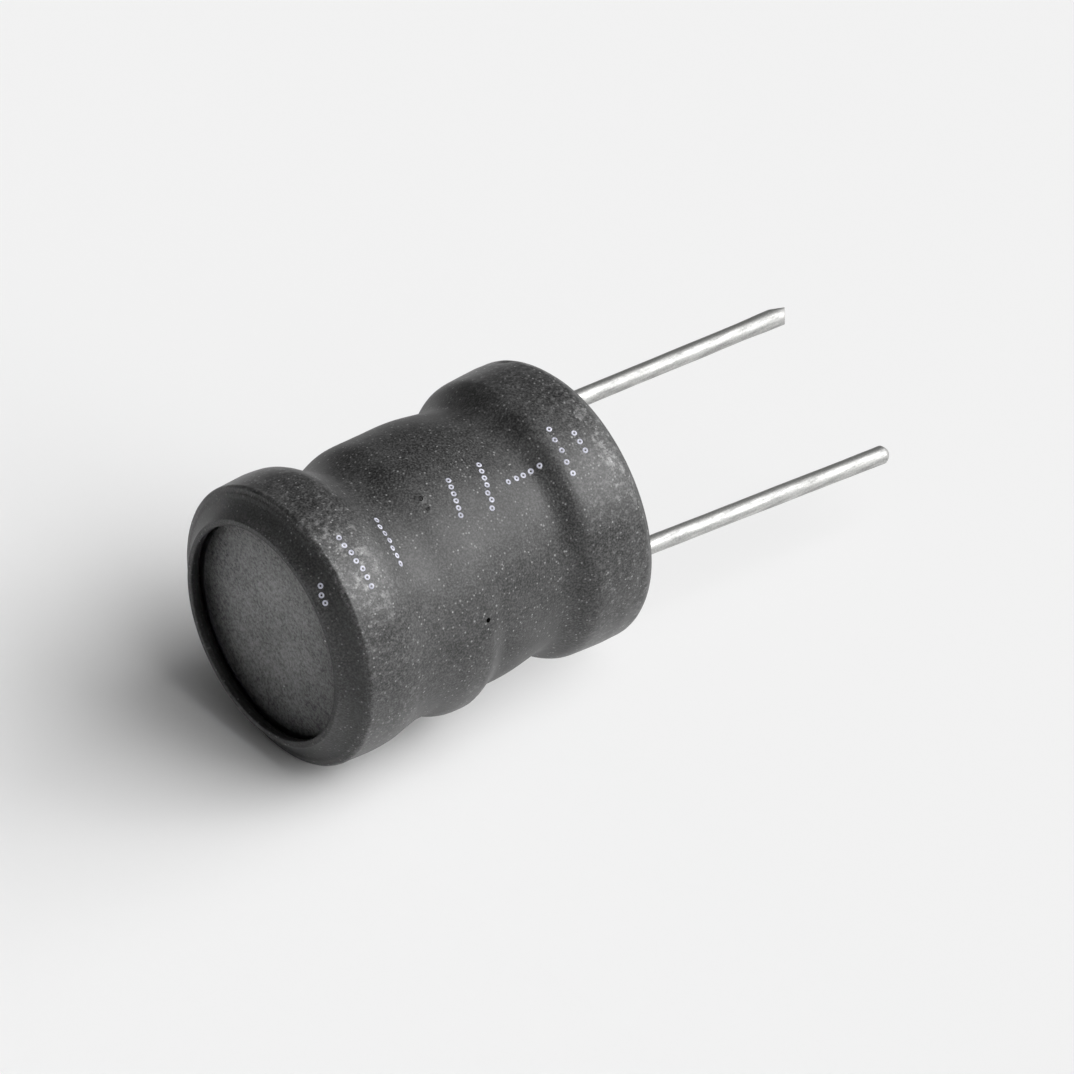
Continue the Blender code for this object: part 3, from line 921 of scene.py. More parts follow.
@dataclass(frozen=True)
class DrumForm:
    """The wound drum's form: radii from the axis and heights above the head rim.

    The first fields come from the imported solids. The others are the sizes of part.py, but for the slack
    turns, which are fitted closer to the photograph.
    """

    core_radius: float
    head_face: float
    base_face: float
    sleeve_radius: float
    sleeve_length: float
    head_flange: float = 1.93 * MM
    base_flange: float = 1.5 * MM
    hub_radius: float = 2.0 * MM
    hub_fillet: float = 0.4 * MM
    chamfer: float = 0.27 * MM
    fit_gap: float = 0.05 * MM
    wall: float = 0.45 * MM
    winding_diameter: float = 6.72 * MM
    last_layer_rise: float = 0.3 * MM
    last_layer_start: float = 3.6 * MM
    last_layer_crest: float = 4.65 * MM
    last_layer_taper: float = 6.4 * MM
    last_layer_end: float = 8.95 * MM
    slack_rise: float = 0.32 * MM
    slack_start: float = 3.6 * MM
    slack_crest: float = 4.9 * MM
    slack_step: float = 5.1 * MM
    slack_end: float = 5.95 * MM
    slack_bearing: float = math.radians(100)
    slack_spread: float = 1.9
    head_drape: float = 0.9 * MM
    base_drape: float = 0.75 * MM

    @classmethod
    def from_frame(cls) -> DrumForm:
        """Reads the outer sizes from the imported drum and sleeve.

        Returns:
            The form.
        """
        core_low, core_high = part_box("drum_core")
        _, sleeve_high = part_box("shrink_sleeve")
        return cls(core_radius=core_high.x, head_face=core_low.z, base_face=core_high.z,
                   sleeve_radius=sleeve_high.x, sleeve_length=sleeve_high.z)

    @property
    def window_floor(self) -> float:
        """Height of the head flange's inner face."""
        return self.head_face + self.head_flange

    @property
    def window_top(self) -> float:
        """Height of the base flange's inner face."""
        return self.base_face - self.base_flange

    def winding_radius(self, z: float) -> float:
        """Measures the winding without its slack turns.

        Args:
            z: Height.

        Returns:
            Its outer radius.
        """
        rise = smoothstep(self.last_layer_start, self.last_layer_crest, z)
        fall = smoothstep(self.last_layer_taper, self.last_layer_end, z)
        return self.winding_diameter / 2 + self.last_layer_rise * rise * (1 - fall)

    def slack(self, z: float, bearing: float) -> float:
        """Measures the slack turns.

        Args:
            z: Height.
            bearing: Bearing round the axis.

        Returns:
            How far they stand out.
        """
        rise = smoothstep(self.slack_start, self.slack_crest, z)
        fall = smoothstep(self.slack_step, self.slack_end, z)
        facing = (1 + math.cos(bearing - self.slack_bearing)) / 2
        return self.slack_rise * rise * (1 - fall) * facing**self.slack_spread

    def bore(self, z: float) -> float:
        """Measures the sleeve's bore, which sags from each flange's edge onto the winding.

        Args:
            z: Height.

        Returns:
            Its radius.
        """
        head = 1 - smoothstep(self.window_floor - self.chamfer, self.window_floor + self.head_drape, z)
        base = smoothstep(self.window_top - self.base_drape, self.window_top + self.chamfer, z)
        over = self.winding_radius(z) + self.fit_gap
        return over + (self.core_radius + self.fit_gap - over) * max(head, base)


@dataclass(frozen=True)
class LeadForm:
    """A lead's form: where it stands, how it leans and how it was cut. Its pin hole and joint go with it."""

    side: Side
    length: float
    lean: float
    tip: Tip
    swelling: float = 0.0
    swelling_run_in: float = 2.2 * MM
    swelling_crest: float = 0.9 * MM
    diameter: float = 0.56 * MM
    pitch: float = 4.85 * MM
    bend_height: float = 1.9 * MM
    bend_softness: float = 0.5 * MM
    pin_hole_radius: float = 0.5 * MM
    pin_hole_depth: float = 1.3 * MM
    joint_radius: float = 0.5 * MM

    @property
    def foot(self) -> tuple[float, float]:
        """Where the lead stands, from above."""
        return (0.0, self.side.value * self.pitch / 2)

    def shift(self, height: float) -> float:
        """How far the lead has moved along Y at a height above the base face."""
        past = height - self.bend_height
        return math.tan(self.lean) * (past + math.hypot(past, self.bend_softness)) / 2

    def radius(self, height: float) -> float:
        """The wire's radius at a height above the base face."""
        swell = smoothstep(self.length - self.swelling_run_in, self.length - self.swelling_crest, height)
        return self.diameter / 2 * (1 + self.swelling * swell)


# The pieces


@dataclass
class Sleeve:
    """The heat-shrink tube over the wound drum, with the small flaws that shrinking left in it.

    It rolls in over both flanges, and sags onto the winding between them. From the head flange to the
    slack turns it spans most of the hollow. Its skin waves and puckers a little, is crowned over each
    flange, and is nicked along the collar.
    """

    form: DrumForm
    head_opening: float = 3.41 * MM
    base_opening: float = 3.72 * MM
    rim_flat: float = 0.22 * MM
    lip: float = 0.3 * MM
    lip_run_in: float = 0.3 * MM
    head_taper: float = 0.6 * MM
    head_rounding: float = 0.14 * MM
    hollow: tuple[float, float] = (4.02 * MM, 0.47 * MM)
    base_rounding: float = 0.55 * MM
    base_skew: float = 0.09 * MM
    edge_rounding: float = 0.06 * MM
    ease: float = 0.2 * MM
    bridge: float = 0.78
    bridge_foot: float = 2.0 * MM
    bridge_end: float = 5.1 * MM
    bridge_bearing: float = math.radians(52)
    bridge_spread: int = 3
    wave: float = 0.024 * MM
    wave_length: float = 2.1 * MM
    pucker: float = 0.01 * MM
    pucker_length: float = 0.55 * MM
    nick: float = 0.035 * MM
    nick_length: float = 0.42 * MM
    nick_reach: float = 0.3 * MM
    nick_from: float = 0.2
    nick_full: float = 0.3
    crown: float = 0.035 * MM
    head_crown: float = 1.65 * MM
    base_crown: float = 10.35 * MM
    crown_reach: float = 0.9 * MM
    pinholes: tuple[Pinhole, ...] = (
        Pinhole(4.6 * MM, math.radians(-20.8), 0.085 * MM, 0.55),
        Pinhole(5.1 * MM, math.radians(36.9), 0.088 * MM, 1.0),
        Pinhole(4.62 * MM, math.radians(-14.9), 0.04 * MM, 0.3),
    )
    # The part of the wall, from the bore outwards, over which the skin's flaws set in
    skin_share: tuple[float, float] = (0.3, 0.7)
    segments: int = 336
    arc_steps: int = 9
    skin_rows: int = 150
    bore_rows: int = 24
    row_spacing: float = 0.08 * MM

    @property
    def collar_floor(self) -> float:
        """Height at which the collar past the base flange starts to curl in."""
        return self.form.sleeve_length - self.base_rounding - self.edge_rounding

    def flank(self) -> list[tuple[float, float, float]]:
        """Draws the head's hollow flank, a curve from the rim's flat that is almost level at the corner.

        Returns:
            Its corners between both ends, which keep a rounding of 0.
        """
        start = Vector((self.head_opening + self.rim_flat, 0.0))
        bend = Vector(self.hollow)
        end = Vector((self.form.sleeve_radius, self.head_taper))
        curve = []
        for t in levels(0.0, 1.0, self.arc_steps + 2)[1:-1]:
            point = start * (1 - t)**2 + bend * 2 * t * (1 - t) + end * t**2
            curve.append((point.x, point.y, 0.0))
        return curve

    def eased_radius(self, z: float) -> float:
        """Measures the ideal skin, where the film rounds off what it is stretched over.

        Args:
            z: Height.

        Returns:
            The skin's radius without slack turns and flaws.
        """
        weights = (1, 4, 6, 4, 1)
        total = 0.0
        for k, weight in enumerate(weights):
            total += weight * self.form.bore(z + (k - 2) * self.ease)
        return total / sum(weights) + self.form.wall

    def bridging(self, z: float, bearing: float) -> float:
        """Measures how the film spans from the head flange to the slack turns.

        Args:
            z: Height.
            bearing: Bearing round the axis.

        Returns:
            How far it stands off.
        """
        if not self.bridge_foot < z < self.bridge_end:
            return 0.0
        share = (z - self.bridge_foot) / (self.bridge_end - self.bridge_foot)
        near = self.eased_radius(self.bridge_foot)
        far = self.eased_radius(self.bridge_end) + self.form.slack(self.bridge_end, bearing)
        here = self.eased_radius(z) + self.form.slack(z, bearing)
        facing = (1 + math.cos(bearing - self.bridge_bearing)) / 2
        gap = max(0.0, near * (1 - share) + far * share - here)
        return self.bridge * gap * facing**self.bridge_spread

    def skin(self) -> Outline:
        """Draws the outer outline.

        Returns:
            Its points, from the head opening over the wound drum to the base opening.
        """
        form = self.form
        first = self.head_taper + self.head_rounding
        last = self.collar_floor
        head = rounded([
            (self.head_opening + self.edge_rounding, self.lip, 0),
            (self.head_opening, self.lip / 2, self.edge_rounding),
            (self.head_opening, 0.0, self.edge_rounding / 2),
            (self.head_opening + self.rim_flat, 0.0, self.edge_rounding),
            *self.flank(),
            (form.sleeve_radius, self.head_taper, self.head_rounding),
            (form.sleeve_radius, first, 0),
        ], self.arc_steps)[:-1]
        body = [(self.eased_radius(z), z) for z in levels(first, last, self.skin_rows)]
        base = rounded([
            (form.sleeve_radius, last, 0),
            (form.sleeve_radius, form.sleeve_length, self.base_rounding),
            (self.base_opening, form.sleeve_length, self.edge_rounding),
            (self.base_opening, form.sleeve_length - 2 * self.edge_rounding, 0),
        ], self.arc_steps)[1:]
        return refined(head + body + base, self.row_spacing)

    def inside(self) -> Outline:
        """Draws the inner outline.

        Returns:
            Its points, from the base opening back to the head's lip.
        """
        form = self.form
        bore_top = form.base_face - form.chamfer
        bore_floor = form.head_face + form.chamfer
        bore = [(form.bore(z), z) for z in levels(bore_top, bore_floor, self.bore_rows)]
        return bore + [(form.core_radius - form.chamfer, form.head_face - form.fit_gap)]

    def dip(self, radius: float, z: float, bearing: float) -> float:
        """Measures how far the shrunk skin lies inside its ideal form.

        Args:
            radius: Distance of the ideal skin from the axis.
            z: Height.
            bearing: Bearing round the axis.

        Returns:
            A depth, which is below 0 where the film spans a hollow.
        """
        around = Vector((math.cos(bearing), math.sin(bearing), 0)) * radius + Vector((0, 0, z))
        waves = 0.5 + 0.5 * noise.noise(around / self.wave_length)
        pucker = 0.5 + 0.5 * noise.noise(around / self.pucker_length + PUCKER_SEED)
        crown = 0.0
        for middle in (self.head_crown, self.base_crown):
            crown += self.crown * max(0.0, 1 - abs(abs(z - middle) / self.crown_reach - 1))
        edge = max(0.0, 1 - abs(z - self.collar_floor) / self.nick_reach)
        nicks = max(0.0, noise.noise(around / self.nick_length + NICK_SEED) - self.nick_from)
        crown += self.nick * edge * nicks / self.nick_full
        return self.wave * waves + self.pucker * pucker + crown - self.bridging(z, bearing)

    def on_skin(self, z: float, bearing: float) -> Vector:
        """Finds a point of the finished skin between the flanges.

        Args:
            z: Height.
            bearing: Bearing round the axis.

        Returns:
            The point.
        """
        r = self.eased_radius(z)
        r += self.form.slack(z, bearing) - self.dip(r, z, bearing)
        return Vector((r * math.cos(bearing), r * math.sin(bearing), z))

    def build(self) -> None:
        """Turns the tube, lays it over the slack turns and lets its skin sink in places."""
        form = self.form
        bm = revolved(self.skin() + self.inside(), self.segments)
        for vert in bm.verts:
            x, y, z = vert.co
            radius = math.hypot(x, y)
            bearing = math.atan2(y, x)
            start, end = (form.bore(z) + form.wall * share for share in self.skin_share)
            outer = smoothstep(start, end, radius)
            if z < form.head_face:
                outer = smoothstep(0.0, self.lip_run_in, radius - self.head_opening)
            moved = radius + form.slack(z, bearing) - outer * self.dip(radius, z, bearing)
            vert.co.x *= moved / radius
            vert.co.y *= moved / radius
            vert.co.y += self.base_skew * smoothstep(self.collar_floor, form.sleeve_length, z)
        obj = new_object("sleeve_skin", bm)
        places = tuple((self.on_skin(hole.height, hole.bearing), hole) for hole in self.pinholes)
        look = ShrinkSleeveFinish("heat-shrunk polyolefin", pinholes=places)
        place_piece(obj, look.build(), "sleeve", "shrink_sleeve")


@dataclass
class Core:
    """The pressed and fired ferrite drum."""

    form: DrumForm
    leads: list[LeadForm]
    finish: Finish
    slot_width: float = 0.72 * MM
    slot_floor: float = 2.95 * MM
    slot_offset: float = 0.5 * MM
    slot_overrun: float = 0.25
    edge_rounding: float = 0.03 * MM
    head_chamfer: float = 0.58 * MM
    sharp_angle: float = 25.0
    segments: int = 160
    hole_segments: int = 48
    arc_steps: int = 8

    def profile(self) -> Outline:
        """Draws half the drum's section.

        Returns:
            Its points, from the middle of the head face to the middle of the base face.
        """
        form = self.form
        outer = form.core_radius
        eased = outer - form.chamfer
        edge = self.edge_rounding
        return rounded([
            (0.0, form.head_face, 0),
            (outer - self.head_chamfer, form.head_face, edge),
            (outer, form.head_face + form.chamfer, edge),
            (outer, form.window_floor - form.chamfer, edge),
            (eased, form.window_floor, edge),
            (form.hub_radius, form.window_floor, form.hub_fillet),
            (form.hub_radius, form.window_top, form.hub_fillet),
            (eased, form.window_top, edge),
            (outer, form.window_top + form.chamfer, edge),
            (outer, form.base_face - form.chamfer, edge),
            (eased, form.base_face, edge),
            (0.0, form.base_face, 0),
        ], self.arc_steps)

    def slot_cutter(self, side: Side) -> bmesh.types.BMesh:
        """Shapes a round floored slot through the base flange, open at its edge, for the wire's end.

        Args:
            side: The lead on whose side it is.

        Returns:
            What is cut away.
        """
        half = self.slot_width / 2
        depth = 2 * self.form.base_flange
        bm = bmesh.new()
        place = Matrix.Translation((0, self.slot_floor + half, self.form.base_face))
        bmesh.ops.create_cone(bm, cap_ends=True, segments=4 * self.arc_steps, radius1=half, radius2=half,
                              depth=depth, matrix=place)
        outer = [v for v in bm.verts if v.co.y > self.slot_floor + half + WELD]
        bmesh.ops.translate(bm, verts=outer, vec=(0, self.form.core_radius, 0))
        rise = depth / 2 - self.form.base_flange * (1 + self.slot_overrun)
        bmesh.ops.translate(bm, verts=bm.verts, vec=(self.slot_offset, 0, rise))
        turn = Matrix.Rotation(0.0 if side is Side.B else math.pi, 3, "Z")
        bmesh.ops.rotate(bm, verts=bm.verts, cent=(0, 0, 0), matrix=turn)
        return bm

    def hole_cutter(self, lead: LeadForm) -> bmesh.types.BMesh:
        """Shapes the blind hole that a lead stands in.

        Args:
            lead: The lead.

        Returns:
            What is cut away.
        """
        bm = bmesh.new()
        bmesh.ops.create_cone(bm, cap_ends=True, segments=self.hole_segments, radius1=lead.pin_hole_radius,
                              radius2=lead.pin_hole_radius, depth=2 * lead.pin_hole_depth,
                              matrix=Matrix.Translation((*lead.foot, self.form.base_face)))
        return bm

    def build(self) -> None:
        """Turns the drum and cuts the pin holes and wire slots in its base flange."""
        drum = new_object("ferrite_drum", revolved(self.profile(), self.segments), self.sharp_angle)
        cutters = []
        for lead in self.leads:
            cutters.append(new_object(f"pin_hole_{lead.side.letter}", self.hole_cutter(lead)))
            cutters.append(new_object(f"wire_slot_{lead.side.letter}", self.slot_cutter(lead.side)))
        cut_away(drum, cutters)
        place_piece(drum, self.finish.build(), "ferrite", "drum_core")


@dataclass
class Winding:
    """The enamelled wire: inner layers as one body, a last layer of turns, and both ends."""

    form: DrumForm
    leads: list[LeadForm]
    finish: Finish
    wire_radius: float = 0.22 * MM
    turn_pitch: float = 0.46 * MM
    tail_bend: float = 0.3 * MM
    tail_offset: float = 0.5 * MM
    tail_out: float = 3.22 * MM
    turn_points: int = 60
    bend_steps: int = 10
    wire_segments: int = 12
    bulk_rows: int = 40
    bulk_segments: int = 96

    def bulk(self) -> bmesh.types.BMesh:
        """Turns the inner layers as one body, since nothing shows them apart.

        Returns:
            The body.
        """
        form = self.form
        inner = form.hub_radius + form.fit_gap
        floor = form.window_floor + form.fit_gap
        top = form.window_top - form.fit_gap
        outline = [(inner, top - form.hub_fillet), (inner, floor + form.hub_fillet),
                   (inner + form.hub_fillet, floor)]
        for z in levels(floor, top, self.bulk_rows):
            outline.append((form.winding_radius(z) - self.wire_radius, z))
        outline.append((inner + form.hub_fillet, top))
        bm = revolved(outline, self.bulk_segments)
        middle = (inner + form.winding_diameter / 2) / 2
        for vert in bm.verts:
            radius = vert.co.xy.length
            if radius > middle:
                vert.co.xy *= (radius + form.slack(vert.co.z, math.atan2(vert.co.y, vert.co.x))) / radius
        return bm

    def turns(self) -> bmesh.types.BMesh:
        """Winds the last layer, as one helix between the flanges.

        Returns:
            The layer.
        """
        form = self.form
        floor = form.window_floor + form.fit_gap + self.wire_radius
        top = form.window_top - form.fit_gap - self.wire_radius
        count = int((top - floor) / self.turn_pitch * self.turn_points)
        path = []
        for i in range(count + 1):
            bearing = math.tau * i / self.turn_points
            z = floor + self.turn_pitch * i / self.turn_points
            radius = form.winding_radius(z) - self.wire_radius + form.slack(z, bearing)
            path.append(Vector((radius * math.cos(bearing), radius * math.sin(bearing), z)))
        return swept(path, [self.wire_radius] * len(path), self.wire_segments)

    def tail(self, lead: LeadForm) -> bmesh.types.BMesh:
        """Leads one end of the wire from the winding through its slot, then in towards the joint.

        Args:
            lead: The lead that it goes to.

        Returns:
            The end.
        """
        form = self.form
        side = lead.side.value
        level = form.base_face + form.fit_gap + self.wire_radius
        end = lead.pitch / 2 + lead.joint_radius + form.fit_gap
        root = form.window_top - 4 * self.wire_radius
        route = [Vector((self.tail_offset, form.winding_radius(root) - self.wire_radius, root)),
                 Vector((self.tail_offset, self.tail_out, form.window_top - self.wire_radius))]
        for k in range(self.bend_steps + 1):
            turn = math.pi / 2 * k / self.bend_steps
            inward = (self.tail_out - end) * (1 - math.cos(turn))
            route.append(Vector((self.tail_offset, self.tail_out - inward,
                                 level - self.tail_bend * (1 - math.sin(turn)))))
        points = [Vector((side * p.x, side * p.y, p.z)) for p in route]
        return swept(points, [self.wire_radius] * len(points), self.wire_segments)

    def build(self) -> None:
        """Joins the layers and both ends into one piece."""
        whole = joined([self.bulk(), self.turns(), *(self.tail(lead) for lead in self.leads)])
        place_piece(new_object("copper_winding", whole), self.finish.build(), "enamelled_wire", "winding")


@dataclass
class Lead:
    """A tinned wire that stands in its pin hole and leans after its bend.

    The chopped tip has a slanted cut and a second, steeper one. The chamfered tip is drawn in to a cone.
    """

    form: LeadForm
    drum: DrumForm
    look: bpy.types.Material
    hole_depth: float = 1.25 * MM
    chop_slant: float = math.radians(38.6)
    chop_bearing: float = math.radians(45)
    bevel_run: float = 0.62 * MM
    bevel_slant: float = math.radians(76)
    bevel_bearing: float = math.radians(-79)
    burr_rounding: float = 0.02 * MM
    burr_angle: float = math.radians(24)
    chamfer: float = 0.2 * MM
    chamfer_angle: float = math.radians(40)
    chamfer_power: float = 1.5
    chamfer_rows: int = 9
    ripple: float = 0.012 * MM
    ripple_length: float = 1.1 * MM
    ripple_stretch: float = 0.5
    fine_share: float = 0.3
    fine_length: float = 0.3 * MM
    fine_stretch: float = 0.4
    segments: int = 48
    rows: int = 170

    def courses(self) -> tuple[list[float], list[float]]:
        """Spaces the rows of the wire's mesh, closer on the cone of a chamfered tip.

        Returns:
            Each row's height above the base face, and its radius.
        """
        form = self.form
        if form.tip is not Tip.CHAMFERED:
            heights = levels(-self.hole_depth, form.length, self.rows)
            return heights, [form.radius(h) for h in heights]
        start = form.length - self.chamfer
        heights = levels(-self.hole_depth, start, self.rows)[:-1]
        heights += levels(start, form.length, self.chamfer_rows)
        radii = []
        for h in heights:
            run = max(0.0, h - start)**self.chamfer_power / self.chamfer**(self.chamfer_power - 1)
            radii.append(form.radius(h) - math.tan(self.chamfer_angle) * run)
        return heights, radii

    def wire(self) -> bmesh.types.BMesh:
        """Draws the wire with the unevenness that dipping left on it.

        Returns:
            The wire, before its end is cropped.
        """
        x, y = self.form.foot
        heights, radii = self.courses()
        path = [Vector((x, y + self.form.shift(h), self.drum.base_face + h)) for h in heights]
        bm = swept(path, radii, self.segments)
        seed = Vector((self.form.side.value * LEAD_SEED, 0, 0))
        for vert in bm.verts:
            middle = Vector((x, y + self.form.shift(vert.co.z - self.drum.base_face), vert.co.z))
            out = vert.co - middle
            if out.length < WELD:
                continue
            at = vert.co + seed
            uneven = noise.noise(Vector((at.x, at.y, at.z * self.ripple_stretch)) / self.ripple_length)
            fine = noise.noise(Vector((at.x, at.y, at.z * self.fine_stretch)) / self.fine_length)
            rise = self.ripple * uneven + self.fine_share * self.ripple * fine
            vert.co = middle + out * (1 + rise / out.length)
        return bm

    def shear(self, bm: bmesh.types.BMesh, point: Vector, slant: float, bearing: float) -> None:
        """Cuts away what lies past a plane and closes the cut.

        Args:
            bm: The wire.
            point: A point on the plane.
            slant: How far the plane's normal leans from +Z.
            bearing: The bearing towards which it leans.
        """
        normal = Matrix.Rotation(bearing, 3, "Z") @ Matrix.Rotation(slant, 3, "Y") @ Vector((0, 0, 1))
        bmesh.ops.bisect_plane(bm, geom=bm.verts[:] + bm.edges[:] + bm.faces[:], dist=WELD / 10,
                               plane_co=point, plane_no=normal, clear_outer=True)
        bmesh.ops.holes_fill(bm, edges=[e for e in bm.edges if e.is_boundary])

    def crop(self, bm: bmesh.types.BMesh) -> None:
        """Cuts a chopped tip, and breaks the edges of either kind.

        Args:
            bm: The wire.
        """
        form = self.form
        x, y = form.foot
        tip = Vector((x, y + form.shift(form.length), self.drum.base_face + form.length))
        radius = form.radius(form.length)
        if form.tip is Tip.CHOPPED:
            self.shear(bm, tip - Vector((0, 0, radius * math.tan(self.chop_slant))),
                       self.chop_slant, self.chop_bearing)
            flank = Vector((math.cos(self.bevel_bearing), math.sin(self.bevel_bearing), 0)) * radius
            self.shear(bm, tip + flank - Vector((0, 0, self.bevel_run)), self.bevel_slant, self.bevel_bearing)
        near = max(v.co.z for v in bm.verts) - 4 * radius
        rim = [e for e in bm.edges if len(e.link_faces) == 2 and min(v.co.z for v in e.verts) > near
               and e.calc_face_angle() > self.burr_angle]
        bmesh.ops.bevel(bm, geom=rim, offset=self.burr_rounding, segments=3, profile=0.5, affect="EDGES",
                        material=-1)
        face_outwards(bm)

    def build(self) -> None:
        """Makes the wire and crops its end."""
        bm = self.wire()
        self.crop(bm)
        letter = self.form.side.letter
        place_piece(new_object(f"tinned_lead_{letter}", bm), self.look, "tinned_wire", f"lead_{letter}")


@dataclass
class Joint:
    """The wire's end, wrapped round a lead and soldered over, and the cement under it."""

    form: LeadForm
    drum: DrumForm
    solder: bpy.types.Material
    cement: bpy.types.Material
    barrel: float = 0.85 * MM
    first_row: float = 0.08 * MM
    barrel_rows: int = 20
    foot_rounding: tuple[float, float] = (0.04 * MM, 0.05 * MM)
    shoulder: float = 0.1 * MM
    taper: float = 0.75 * MM
    taper_edge: float = 0.02 * MM
    taper_hollow: float = 2.2
    taper_steps: int = 12
    ridge: float = 0.07 * MM
    ridge_pitch: float = 0.42 * MM
    ridge_run_in: float = 0.12 * MM
    ridge_run_out: float = 0.15 * MM
    meniscus_steps: int = 8
    segments: int = 64

    def bead_outline(self, inner: float, floor: float) -> Outline:
        """Draws half the bead's section, which runs out up the lead in a hollow curve.

        Args:
            inner: Radius of the bead's bore.
            floor: Height of its foot.

        Returns:
            Its points.
        """
        top = floor + self.barrel
        waist = self.form.joint_radius - self.ridge
        inset, rise = self.foot_rounding
        outline = [(inner, top + self.taper), (inner, floor), (waist - inset, floor), (waist, floor + rise)]
        start = floor + self.first_row
        outline += [(waist, z) for z in levels(start, top - self.shoulder, self.barrel_rows)]
        edge = inner + self.taper_edge
        for t in levels(0.0, 1.0, self.taper_steps + 1)[1:]:
            run = edge + (waist - edge) * (1 - t)**self.taper_hollow
            outline.append((run, top - self.shoulder + (self.taper + 0.8 * self.shoulder) * t))
        return outline

    def solder_bead(self) -> None:
        """Turns the bead, and raises the wrapped turns' ridges on it."""
        inner = self.form.diameter / 2 + self.drum.fit_gap
        floor = self.drum.base_face + self.drum.fit_gap
        top = floor + self.barrel
        bm = revolved(self.bead_outline(inner, floor), self.segments)
        for vert in bm.verts:
            radius = vert.co.xy.length
            bearing = math.atan2(vert.co.y, vert.co.x)
            above = smoothstep(floor, floor + self.ridge_run_in, vert.co.z)
            below = 1 - smoothstep(top - self.ridge_run_out, top, vert.co.z)
            wrapped = 0.5 + 0.5 * math.cos(math.tau * (vert.co.z - floor) / self.ridge_pitch - bearing)
            if radius > inner + 1.5 * self.taper_edge:
                vert.co.xy *= 1 + self.ridge * above * below * wrapped / radius
        bmesh.ops.translate(bm, verts=bm.verts, vec=(*self.form.foot, 0))
        letter = self.form.side.letter
        place_piece(new_object(f"solder_bead_{letter}", bm), self.solder, "solder", f"solder_joint_{letter}")

    def cement_fill(self) -> None:
        """Turns the cement round the lead in its hole, with a meniscus that climbs the lead."""
        gap = self.drum.fit_gap
        inner = self.form.diameter / 2 + gap
        outer = self.form.pin_hole_radius - gap
        face = self.drum.base_face
        floor = face - self.form.pin_hole_depth + gap
        outline = [(inner, face), (inner, floor), (outer, floor)]
        for t in levels(0.0, 1.0, self.meniscus_steps + 1)[:-1]:
            outline.append((outer + (inner - outer) * t, face - gap * (1 - t**2)))
        bm = revolved(outline, self.segments)
        bmesh.ops.translate(bm, verts=bm.verts, vec=(*self.form.foot, 0))
        letter = self.form.side.letter
        place_piece(new_object(f"epoxy_fill_{letter}", bm), self.cement, "cement", f"pin_cement_{letter}")

    def build(self) -> None:
        """Makes the solder and the cement."""
        self.solder_bead()
        self.cement_fill()


@dataclass(frozen=True)
class Bar:
    """A straight row of drops: height in millimetres and bearing in degrees of its first and last drop."""

    first: tuple[float, float]
    last: tuple[float, float]
    count: int

    def drops(self) -> list[tuple[float, float]]:
        """Spaces the drops evenly.

        Returns:
            Each drop's height in metres and bearing in radians.
        """
        heights = levels(self.first[0] * MM, self.last[0] * MM, self.count)
        bearings = levels(math.radians(self.first[1]), math.radians(self.last[1]), self.count)
        return list(zip(heights, bearings))


